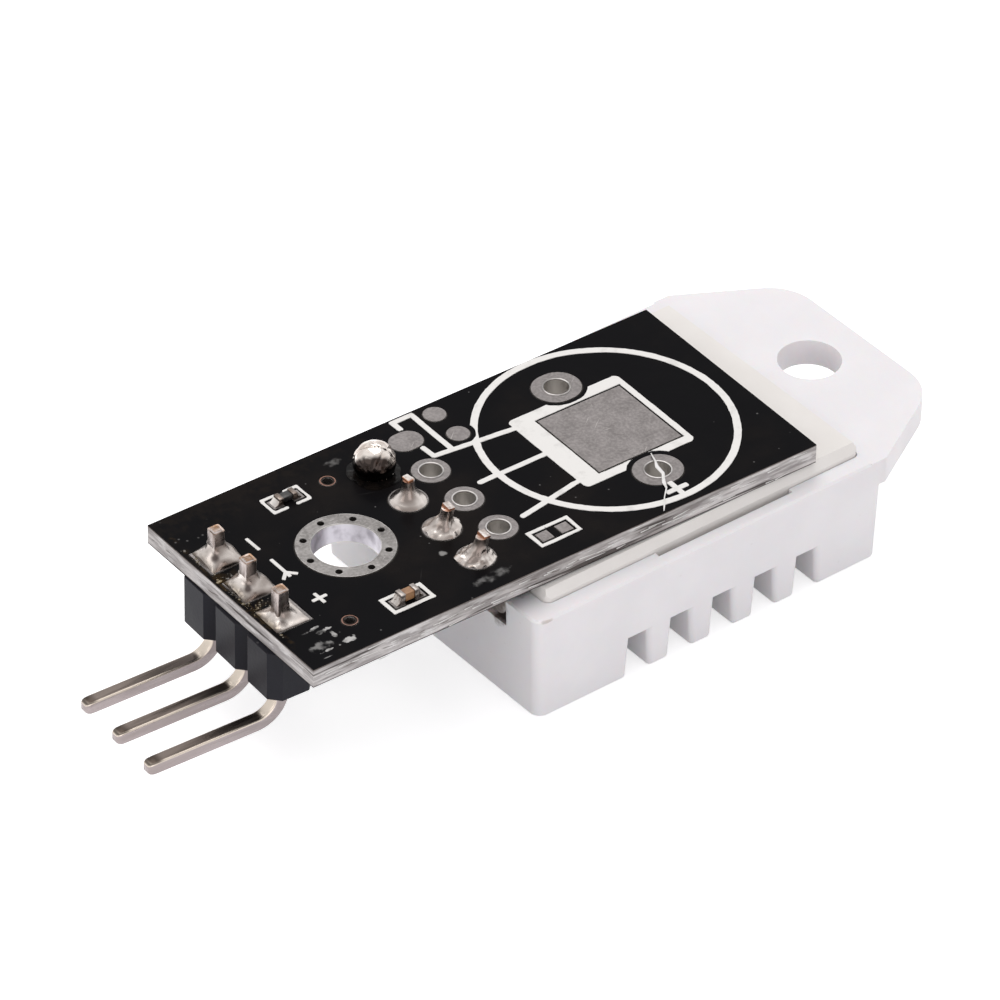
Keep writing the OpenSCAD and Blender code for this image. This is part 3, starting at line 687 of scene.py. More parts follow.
@dataclass(frozen=True)
class LaminateFinish(Finish):
    """Cut edge of the glass-fibre board: pale fibres with dark layers between."""

    name: str = "cut_fibre_edge"
    pale: Colour = (0.66, 0.63, 0.615)
    grey: Colour = (0.36, 0.335, 0.33)
    white: Colour = (0.83, 0.81, 0.80)
    brown: Colour = (0.07, 0.048, 0.034)
    flat_face_dark: Colour = (0.016, 0.012, 0.010)
    dirt: Colour = (0.12, 0.10, 0.09)
    crack: Colour = (0.045, 0.036, 0.032)
    hole_shade: Colour = (0.02, 0.016, 0.014)
    plate: Colour = (0.66, 0.635, 0.69)
    plate_dark: Colour = (0.34, 0.32, 0.36)
    plated: float = 1.7
    end: float = 6.25
    far: float = 21.5
    side: float = 6.25
    seam: float = 0.30
    seam_sway: float = 0.30
    seam_rim: tuple[float, float] = (0.05, 0.01)
    top_rim: tuple[float, float] = (0.91, 0.96)
    top_sway: float = 0.04
    low_rim: tuple[float, float] = (0.09, 0.04)

    def paint(self, desk: NodeDesk) -> dict[str, object]:
        """Layers the cut edge, paints shade on the walls of holes, and gives plated walls their own
        look.
        """
        layers = desk.mottle(1500.0, 0.34, 0.62, 5.0, (0.3, 0.3, 3.2))
        torn = desk.mottle(3000.0, 0.5, 0.68, 5.0, (0.35, 0.35, 1.6))
        desk.colour = self.grey
        desk.coat(layers, self.pale)
        desk.coat(torn, self.white, 0.8)
        along, over, height = desk.place()
        wander = desk.mottle(420.0, 0.2, 0.8, stretch=(1.0, 1.0, 0.2))
        middle = desk.plus(desk.times(wander, self.seam_sway * MM), self.seam * MM)
        line = desk.ramp(desk.size(desk.minus(height, middle)), *mm(*self.seam_rim))
        broken = desk.mottle(1100.0, 0.48, 0.6, stretch=(1.0, 1.0, 0.3))
        desk.coat(desk.times(broken, 0.7, line), self.brown)
        top = desk.ramp(desk.plus(height, desk.times(wander, self.top_sway * MM)),
                        *mm(*self.top_rim))
        low = desk.times(desk.ramp(height, *mm(*self.low_rim)), 0.6)
        desk.coat(desk.most(top, low), self.brown, 0.85)
        # Faces of the laminate that lie flat, as in the gaps of the lacquer, are darkened.
        flat = desk.ramp(desk.size(desk.facing(UP)), 0.6, 0.8)
        desk.coat(flat, self.flat_face_dark)
        desk.coat(desk.mottle(330.0, 0.45, 0.7, 5.0, (0.6, 0.6, 2.0)), self.dirt, 0.6)
        desk.coat(desk.mottle(900.0, 0.57, 0.64, 4.0, (0.16, 0.16, 3.0)), self.crack, 0.9)
        # Painted shade: faces away from the board's outer edges, the walls of its holes, are
        # darkened.
        inside = desk.times(desk.maths("GREATER_THAN", along, -self.end * MM),
                            desk.below(desk.size(over), self.side * MM),
                            desk.below(along, self.far * MM))
        desk.coat(inside, self.hole_shade)
        away = desk.vector("LENGTH", desk.vector("MULTIPLY", desk.where(), (1.0, 1.0, 0.0)), out=1)
        plated = desk.times(desk.below(away, self.plated * MM), desk.minus(1.0, flat))
        worn = desk.mottle(1500.0, 0.42, 0.72, stretch=(1.0, 1.0, 0.7))
        desk.coat(plated, desk.blend(worn, self.plate, self.plate_dark))
        relief = desk.times(desk.plus(layers, torn), desk.minus(1.0, plated))
        return {"Metallic": desk.times(plated, 0.9),
                "Roughness": desk.ramp(plated, 0.0, 1.0, 0.75, 0.33),
                "Specular IOR Level": 0.3, "Normal": desk.bump(relief, 0.03)}


@dataclass(frozen=True)
class InkFinish(Finish):
    """Printed off-white ink, a little worn and thin in places."""

    name: str = "printed_ink"
    white: Colour = (0.79, 0.775, 0.745)
    thin: Colour = (0.60, 0.585, 0.56)
    nick: Colour = (0.2, 0.19, 0.18)

    def paint(self, desk: NodeDesk) -> dict[str, object]:
        """Wears and nicks the ink."""
        worn = desk.mottle(1500.0, 0.55, 0.75)
        desk.colour = self.white
        desk.coat(worn, self.thin, 0.6)
        desk.coat(desk.specks(2400.0, 0.16, 0.07), self.nick, 0.7)
        return {"Roughness": 0.55, "Normal": desk.bump(worn, 0.006)}


@dataclass(frozen=True)
class TinFinish(Finish):
    """Dull grey tin plate with fine scratches, upright walls painted lighter or darker as light and
    shade, and, where given, holes with a copper rim, painted shade inside and a painted glint.
    """

    name: str = "tinned_copper"
    grey: Colour = (0.215, 0.197, 0.195)
    bright: Colour = (0.38, 0.355, 0.345)
    dark: Colour = (0.17, 0.156, 0.154)
    # Colour of upright faces: painted light where it is lighter than the tin, painted shade where
    # darker.
    wall: Colour = (0.62, 0.60, 0.58)
    rim: Colour = (0.24, 0.135, 0.105)
    hole_shade: Colour = (0.02, 0.014, 0.012)
    glint: Colour = (0.5, 0.42, 0.40)
    rough: float = 0.46
    rim_reach: Point = (0.42, 0.42, 0.6)
    hole_shade_reach: Point = (0.345, 0.345, 0.6)
    glint_reach: Point = (0.15, 0.1, 0.4)
    glint_shift: tuple[float, float] = (0.04, -0.14)
    copper: tuple[Point, ...] = ()

    def paint(self, desk: NodeDesk) -> dict[str, object]:
        """Scratches the tin, draws each via's copper rim, painted shade in its hole and a painted
        glint, and paints light and shade on the upright walls.
        """
        cloud = desk.mottle(1300.0, 0.25, 0.75, 6.0)
        grain = desk.mottle(7000.0, 0.35, 0.7, 2.0)
        scratch = desk.scratches(8000.0, 0.9, 0.55)
        desk.colour = self.dark
        desk.coat(cloud, self.grey)
        desk.coat(desk.most(desk.times(grain, 0.3), desk.times(scratch, 0.75)), self.bright)
        for x, y, z in self.copper:
            desk.coat(desk.patch((x, y, z), self.rim_reach, 0.03, 0.05), self.rim)
            # Painted shade inside the via's hole.
            desk.coat(desk.patch((x, y, z), self.hole_shade_reach, 0.06, 0.12), self.hole_shade)
            lit = (x + self.glint_shift[0], y + self.glint_shift[1], z)
            desk.coat(desk.patch(lit, self.glint_reach, 0.15, 0.5), self.glint, 0.5)
        # Upright faces take the wall colour, as painted light or shade.
        desk.coat(desk.ramp(desk.size(desk.facing(UP)), 0.5, 0.3), self.wall)
        return {"Roughness": desk.ramp(cloud, 0.0, 1.0, self.rough + 0.1, self.rough - 0.06),
                "Metallic": 1.0,
                "Normal": desk.bump(desk.minus(desk.plus(cloud, grain), scratch), 0.004)}


@dataclass(frozen=True)
class SolderFinish(Finish):
    """Bright solder with painted shade on its near side, and burnt flux where it is given."""

    name: str = "bright_solder"
    silver: Colour = (0.76, 0.70, 0.66)
    dark: Colour = (0.36, 0.315, 0.29)
    near_shade: Colour = (0.15, 0.115, 0.10)
    burnt: Colour = (0.03, 0.022, 0.017)
    amber: Colour = (0.17, 0.125, 0.065)
    rough: float = 0.26
    dirt: float = 0.3
    lumps: float = 0.02
    blotch: float = 900.0
    near: Point = (-0.62, -0.78, -0.02)
    near_shade_share: float = 0.85
    near_shade_span: tuple[float, float] = (0.3, 0.9)
    amber_edge: float | None = None
    marks: tuple[Numbers, ...] = ()

    def paint(self, desk: NodeDesk) -> dict[str, object]:
        """Paints shade on the near side of the solder, and burns it."""
        cloud = desk.mottle(self.blotch, 0.3, 0.62, 3.0)
        crust = desk.mottle(2300.0, 0.74 - 0.26 * self.dirt, 0.82 - 0.26 * self.dirt)
        desk.colour = self.dark
        desk.coat(cloud, self.silver)
        # Painted shade: faces turned the near way, swayed by the patches, take the darker near-side
        # colour.
        sway = desk.times(desk.minus(cloud, 0.5), 0.25)
        desk.coat(desk.ramp(desk.plus(desk.facing(self.near), sway), *self.near_shade_span), self.near_shade,
                  self.near_shade_share)
        for mark in self.marks:
            desk.coat(desk.patch(mark[:3], mark[3:], 0.2, 0.75), self.burnt, 0.9)
        if self.amber_edge is not None:
            near = desk.ramp(desk.place()[0], (self.amber_edge + 0.4) * MM,
                             (self.amber_edge - 0.05) * MM)
            desk.coat(near, self.amber, 0.7)
            crust = desk.most(crust, desk.times(near, desk.mottle(2600.0, 0.42, 0.6)))
        desk.coat(crust, self.burnt, 0.85)
        relief = desk.plus(desk.grain(2100.0, 3.0), crust)
        return {"Metallic": desk.minus(1.0, desk.times(crust, 0.8)),
                "Roughness": desk.ramp(cloud, 0.0, 1.0, self.rough + 0.1, self.rough),
                "Normal": desk.bump(relief, self.lumps)}


@dataclass(frozen=True)
class WireFinish(Finish):
    """Tarnished nickel of the bent pins, with a painted dark reflection on top and a painted
    highlight along the edges, and tinned above the board with painted shade on its near side.
    """

    name: str = "nickel_wire"
    pale: Colour = (0.385, 0.335, 0.335)
    brown: Colour = (0.062, 0.048, 0.038)
    streak: Colour = (0.16, 0.13, 0.112)
    # Colour of the painted highlight along the rounded edges.
    edge: Colour = (0.66, 0.58, 0.50)
    tin: Colour = (0.56, 0.50, 0.48)
    # Darker tin, for its real streaks and the painted shade on its near side.
    tin_dark: Colour = (0.22, 0.175, 0.155)
    tip: Colour = (0.04, 0.03, 0.024)
    cut: Colour = (0.22, 0.125, 0.07)
    rough: float = 0.2
    tinned_from: float = 0.5
    tip_x: float = -11.9
    cut_from: float = 2.58

    def paint(self, desk: NodeDesk) -> dict[str, object]:
        """Tarnishes the wire with a painted dark reflection on top and a painted highlight along
        its edges, and tins it above the board with painted shade on its near side.
        """
        along, _, height = desk.place()
        up = desk.facing(UP)
        level = desk.mottle(3000.0, 0.3, 0.7, stretch=(0.1, 1.0, 1.0))
        stain = desk.mottle(500.0, 0.45, 0.7)
        pit = desk.specks(2600.0, 0.2, 0.08)
        # Faces on top are browned as a painted dark reflection; the mottled tarnish is real.
        tarnish_and_top_shade = desk.most(desk.times(desk.ramp(up, 0.75, 0.97), 0.9),
                            desk.times(desk.most(level, stain), 0.3))
        desk.colour = self.pale
        desk.coat(tarnish_and_top_shade, desk.blend(level, self.brown, self.streak))
        # Painted highlight: a pale band on the rounded edges between the top and the sides.
        line = desk.times(desk.ramp(up, 0.15, 0.4), desk.ramp(up, 0.99, 0.93))
        desk.coat(desk.times(line, desk.mottle(260.0, 0.25, 0.45)), self.edge)
        tip = desk.ramp(along, (self.tip_x + 0.4) * MM, (self.tip_x - 0.05) * MM)
        desk.coat(desk.times(tip, desk.ramp(up, 0.45, 0.85)), self.tip, 0.85)
        desk.coat(pit, self.brown, 0.5)
        upright = desk.mottle(2300.0, 0.42, 0.66, stretch=(1.0, 1.0, 0.2))
        # Painted shade: the near side of the tin above the board is darkened.
        near = desk.ramp(desk.facing((-0.3, -0.95, 0.0)), 0.6, 1.0, 0.0, 0.5)
        desk.coat(desk.maths("GREATER_THAN", height, self.tinned_from * MM),
                  desk.blend(desk.most(upright, near), self.tin, self.tin_dark))
        cut = desk.times(desk.ramp(up, 0.8, 0.95),
                         desk.ramp(height, (self.cut_from - 0.05) * MM, self.cut_from * MM))
        hollow = desk.ramp(desk.mottle(2600.0, 0.4, 0.6), 0.0, 1.0, 0.45, 0.9)
        desk.coat(desk.times(cut, hollow), self.cut)
        return {"Metallic": 1.0,
                "Roughness": desk.ramp(level, 0.0, 1.0, self.rough + 0.06, self.rough + 0.12),
                "Normal": desk.bump(desk.plus(level, pit), 0.0012)}


@dataclass(frozen=True)
class CutPinFinish(Finish):
    """A thin tinned pin, clipped off: copper shows at its rim and the cut is pale."""

    name: str = "clipped_pin"
    tin: Colour = (0.62, 0.57, 0.54)
    tin_dark: Colour = (0.3, 0.25, 0.22)
    copper: Colour = (0.55, 0.21, 0.09)
    cut: Colour = (0.80, 0.75, 0.71)
    cut_dark: Colour = (0.45, 0.38, 0.34)
    tip: float = 2.3

    def paint(self, desk: NodeDesk) -> dict[str, object]:
        """Streaks the tin, and shows copper round the cut."""
        streak = desk.mottle(2600.0, stretch=(1.0, 1.0, 0.2))
        desk.colour = self.tin
        desk.coat(streak, self.tin_dark, 0.5)
        rim = desk.ramp(desk.place()[2], (self.tip - 0.22) * MM, (self.tip - 0.12) * MM)
        desk.coat(rim, self.copper, 0.85)
        face = desk.times(desk.ramp(desk.facing(UP), 0.6, 0.85), rim)
        desk.coat(face, desk.blend(desk.mottle(3200.0, 0.4, 0.6), self.cut_dark, self.cut))
        return {"Metallic": desk.ramp(face, 0.0, 1.0, 1.0, 0.2), "Roughness": 0.3,
                "Normal": desk.bump(streak, 0.006)}


@dataclass(frozen=True)
class MouldedFinish(Finish):
    """Moulded plastic with a fine spark texture, dust, scuffs and painted shade in recesses."""

    name: str = "white_plastic"
    body: Colour = (0.80, 0.785, 0.80)
    shade: Colour = (0.74, 0.725, 0.74)
    grime: Colour = (0.42, 0.37, 0.33)
    recess_shade_brown: Colour = (0.075, 0.05, 0.04)
    gloss: Gloss = Gloss.SATIN
    dust: float = 0.25
    glow: float = 0.0
    shine: float = 0.5
    scuffs: tuple[Numbers, ...] = ()
    recess_shades: tuple[Numbers, ...] = ()

    def paint(self, desk: NodeDesk) -> dict[str, object]:
        """Lays dust, scuffs and painted shade in recesses over the plastic."""
        cloud = desk.mottle(240.0)
        spots = desk.most(desk.specks(1700.0, 0.15, 0.09), desk.scratches(1500.0, 1.1, 0.3))
        desk.colour = self.body
        desk.coat(cloud, self.shade, 0.8)
        dirt = desk.times(spots, self.dust)
        for mark in self.scuffs:
            dirt = desk.most(dirt, desk.times(desk.patch(mark[:3], mark[3:], 0.5, 0.7), 0.6))
        desk.coat(dirt, self.grime)
        # Painted shade: recesses, such as the notch under the board, are darkened brown.
        for mark in self.recess_shades:
            desk.coat(desk.patch(mark[:3], mark[3:], 0.12, 0.3), self.recess_shade_brown, 0.92)
        rough = self.gloss.value
        return {"Roughness": desk.ramp(cloud, 0.0, 1.0, rough - 0.03, rough + 0.05),
                "Subsurface Weight": self.glow, "Subsurface Scale": 0.001,
                "Specular IOR Level": self.shine,
                "Normal": desk.bump(desk.grain(6500.0, 2.0), 0.006)}


@dataclass(frozen=True)
class CeramicFinish(Finish):
    """Fired ceramic of a small component, or the body of an inner part."""

    name: str = "tan_ceramic"
    body: Colour = (0.36, 0.19, 0.085)
    fleck: Colour = (0.24, 0.12, 0.06)
    rough: float = 0.38

    def paint(self, desk: NodeDesk) -> dict[str, object]:
        """Flecks the ceramic."""
        cloud = desk.mottle(3000.0, 0.35, 0.7)
        grain = desk.specks(9000.0, 0.3, 0.4)
        desk.colour = self.body
        desk.coat(cloud, self.fleck)
        return {"Roughness": desk.ramp(grain, 0.0, 1.0, self.rough, self.rough + 0.2),
                "Normal": desk.bump(desk.plus(cloud, grain), 0.008)}


@dataclass(frozen=True)
class FluxFinish(Finish):
    """Dried flux: a dark amber film with pale specks of bubbles and grey dust, which are painted
    glints as well where they are strong.
    """

    name: str = "dried_flux"
    amber: Colour = (0.008, 0.006, 0.005)
    black: Colour = (0.003, 0.0028, 0.0028)
    bubble_and_glint: Colour = (0.3, 0.27, 0.24)
    fleck: float = 0.01
    shine: float = 0.12

    def paint(self, desk: NodeDesk) -> dict[str, object]:
        """Clouds the film and sets pale specks in it, bubbles that are painted glints as well where
        they are strong.
        """
        cloud = desk.mottle(1900.0)
        desk.colour = self.black
        desk.coat(cloud, self.amber)
        desk.coat(desk.specks(2500.0, 0.35, 0.4), self.bubble_and_glint, self.fleck)
        return {"Roughness": 0.09, "Specular IOR Level": self.shine,
                "Normal": desk.bump(cloud, 0.02)}


# ---- sub-assemblies


@dataclass
class CircuitBoard:
    """The board: laminate, lacquer, tinned lands, plated holes and its torn fibres."""

    length: float = 27.87
    width: float = 12.62
    top: float = 1.0
    vias: tuple[Point, ...] = ((2.07, 4.28, 1.0), (-2.99, -4.43, 1.0))
    sliver_count: int = 46
    sliver_from: float = -5.5
    sliver_margin: float = 1.6
    sliver_radius: float = 0.028
    sliver_tip: float = 0.008
    ring_lip: float = 0.045
    lips: tuple[Numbers, ...] = ((0.0, 0.0, 1.575, 0.022), (0.0, 0.0, 2.255, 0.014))
    rings: Point = (6.28, -0.33, 0.53)
    oblongs: Point = (14.61, 0.14, 0.6)
    oblong_gap: float = 3.785
    fibre_route: tuple[Point, ...] = (
        (15.0, -2.62, 1.12), (14.8, -3.2, 1.14), (14.62, -3.55, 1.13), (14.55, -4.1, 1.12),
        (14.2, -4.6, 1.1), (14.05, -5.0, 1.09), (13.55, -5.5, 1.08), (13.2, -5.95, 1.08),
        (12.95, -6.25, 1.06))
    fibre_widths: Numbers = (0.03, 0.05, 0.10, 0.085, 0.10, 0.05, 0.035, 0.055, 0.025)

    def dress_nodes(self) -> None:
        """Gives the board's CAD nodes their materials."""
        lands = TinFinish("tinned_lands_finish", copper=self.vias)
        finishes = {
            "board_laminate": LaminateFinish(), "mask_top": MaskFinish(),
            "mask_bottom": MaskFinish(), "tinned_lands": lands,
            "mount_ring": TinFinish("ring_tin", grey=(0.28, 0.265, 0.258),
                                    dark=(0.145, 0.136, 0.132), bright=(0.46, 0.44, 0.43),
                                    rough=0.34),
            "plated_rings": TinFinish("ring_plate", rough=0.36)}
        for node, finish in finishes.items():
            dress(frame["nodes"][node], finish.material())
            LOG.info("%s dressed in %s", node, finish.name)

    def torn_fibres(self) -> Piece:
        """Builds the white slivers of glass that stand out of the near long edge."""
        parts = []
        edge_y = -self.width / 2
        for i in range(self.sliver_count):
            pick = Vector((noise.noise(Vector((i * 3.7, 0.3, 0))),
                           noise.noise(Vector((0.7, i * 2.9, 0))),
                           noise.noise(Vector((i * 1.9, i * 0.7, 4)))))
            share = (i + 0.5) / self.sliver_count
            along = self.sliver_from + share * (self.length - self.sliver_margin) + pick.x * 0.5
            reach = 0.35 + abs(pick.y) * 1.5
            parts.append(add(
                bpy.ops.mesh.primitive_cone_add, vertices=5, radius1=self.sliver_radius * MM,
                radius2=self.sliver_tip * MM, depth=reach * MM,
                location=mm(along, edge_y - 0.015, 0.5 + pick.z * 0.75),
                rotation=(0.0, math.pi / 2 + pick.x * 0.12, pick.y * 0.1)))
        slivers = join_all(parts)
        smooth(slivers)
        glass = CeramicFinish("glass_fibre", body=(0.82, 0.81, 0.79), fleck=(0.7, 0.69, 0.66))
        return finish_piece(slivers, "torn_edge_fibres", glass, "board_laminate")

    def ring_lips(self) -> Piece:
        """Builds the bright rolled lips round the plated holes."""
        spots = list(self.lips)
        for (x, y, radius), gap, steps in ((self.rings, PITCH, (-1, 0, 1)),
                                           (self.oblongs, self.oblong_gap, (-1, 1))):
            spots += [(x, y + step * gap, radius, self.ring_lip) for step in steps]
        piece = join_all([add(
            bpy.ops.mesh.primitive_torus_add, location=mm(x, y, self.top + 0.02),
            major_radius=(radius + lip * 0.6) * MM, minor_radius=lip * MM, major_segments=72,
            minor_segments=10) for x, y, radius, lip in spots])
        smooth(piece, 80)
        finish = SolderFinish("lip_tin", dirt=0.0, rough=0.32, lumps=0.004,
                              silver=(0.56, 0.54, 0.53), dark=(0.27, 0.26, 0.25),
                              blotch=1400.0, near_shade_share=0.3)
        return finish_piece(piece, "ring_lips", finish, "plated_rings")

    def loose_sliver(self) -> Piece:
        """Builds the long torn sliver that lies over the near oblong ring."""
        route, widths = self.fibre_route, self.fibre_widths
        start_radius, rise_limit = 0.5, 1.1
        sliver = settle(add(bpy.ops.mesh.primitive_circle_add, vertices=8,
                            radius=start_radius * MM,
                            fill_type="NGON", location=mm(*route[0]),
                            rotation=(math.pi / 2, 0, 0)))
        with editing(sliver):
            centre = Vector(mm(*route[0]))
            select_all()
            size = widths[0] * MM
            resize((size / (start_radius * MM),) * 3, centre)
            for place, width in zip(route[1:], widths[1:]):
                extrude(Vector(mm(*place)) - centre)
                centre = Vector(mm(*place))
                grow = width * MM / size
                resize((grow, grow, min(grow, rise_limit)), centre)
                size = width * MM
        face_outwards(sliver)
        smooth(sliver, 60)
        return finish_piece(sliver, "loose_fibre", CeramicFinish("glass_fibre"),
                            "board_laminate")


@dataclass
class PrintedMarks:
    """The white print, with polarity signs and a small arrow."""

    top: float = 1.0
    thick: float = 0.03
    ragged: float = 0.045
    shrink: float = 0.015
    lift: float = 0.002
    corner: float = 0.25
    rim_step: float = 0.14
    even: float = 0.001
    passes: int = 6
    waves: tuple[tuple[float, float], ...] = ((5.5, 0.55), (2.2, 0.45))
    shapes: tuple[tuple[Numbers, ...], ...] = (
        ((-3.32, 2.45, 1.0, 0.16, 91),),
        ((-3.15, -2.38, 0.8, 0.17, 92), (-3.15, -2.38, 0.8, 0.17, 2)),
        ((14.46, -5.25, 1.2, 0.27, 0), (14.46, -5.25, 1.2, 0.27, 90)),
        ((-3.3, 0.35, 1.5, 0.17, 90), (-3.12, -0.21, 0.6, 0.17, 135),
         (-3.48, -0.21, 0.6, 0.17, 45)))

    def bar(self, x: float, y: float, length: float, width: float, turn: float) -> Piece:
        """Builds one short bar of ink with rounded ends.

        Args:
            x: Middle of the bar along the board, in millimetres.
            y: Middle of the bar across the board, in millimetres.
            length: Its length.
            width: Its width.
            turn: Its angle from the board's length, in degrees.

        Returns:
            The bar.
        """
        piece = add(bpy.ops.mesh.primitive_cube_add, size=1.0,
                    location=mm(x, y, self.top + self.thick / 2 + self.lift),
                    rotation=(0, 0, math.radians(turn)))
        piece.scale = mm(length, width, self.thick)
        settle(piece)
        with editing(piece, Pick.EDGES) as mesh:
            for edge in mesh.edges:
                run = edge.verts[0].co - edge.verts[1].co
                edge.select_set(abs(run.z) > 0.9 * run.length)
            bmesh.update_edit_mesh(piece.data)
            bpy.ops.mesh.bevel(offset=width * self.corner * MM, segments=3, affect="EDGES")
        return piece

    def signs(self) -> Piece:
        """Builds the plus and minus signs and the arrow."""
        signs = []
        for bars in self.shapes:
            sign, *others = [self.bar(*values) for values in bars]
            for other in others:
                union = sign.modifiers.new("union", "BOOLEAN")
                union.operation, union.object = "UNION", other
            apply_all(sign)
            for other in others:
                take(other)
                bpy.ops.object.delete()
            signs.append(sign)
        return finish_piece(join_all(signs), "printed_signs", InkFinish(), "silkscreen")

    def lines(self) -> Piece:
        """Builds the printed lines from their CAD node, with slightly rough rims."""
        lines = copied("silkscreen", 0.002)
        with editing(lines):
            select_all()
            bpy.ops.mesh.quads_convert_to_tris(quad_method="BEAUTY", ngon_method="BEAUTY")
        for _ in range(self.passes):
            with editing(lines, Pick.EDGES) as mesh:
                for edge in mesh.edges:
                    run = edge.verts[1].co - edge.verts[0].co
                    steep = edge.is_manifold and edge.calc_face_angle(0.0) > 1.0
                    level = abs(run.z) < self.even * MM
                    edge.select_set(steep and level and run.length > self.rim_step * MM)
                bmesh.update_edit_mesh(lines.data)
                bpy.ops.mesh.subdivide(number_cuts=1)
        for vert in lines.data.vertices:
            out = Vector((vert.normal.x, vert.normal.y, 0))
            if out.length > 0.2:
                flat = Vector((vert.co.x, vert.co.y, 0)) / MM
                wave = sum(noise.noise(flat * scale) * share for scale, share in self.waves)
                vert.co += out.normalized() * (self.ragged * wave - self.shrink) * MM
        return finish_piece(lines, "printed_lines", InkFinish(), "silkscreen", "silkscreen")


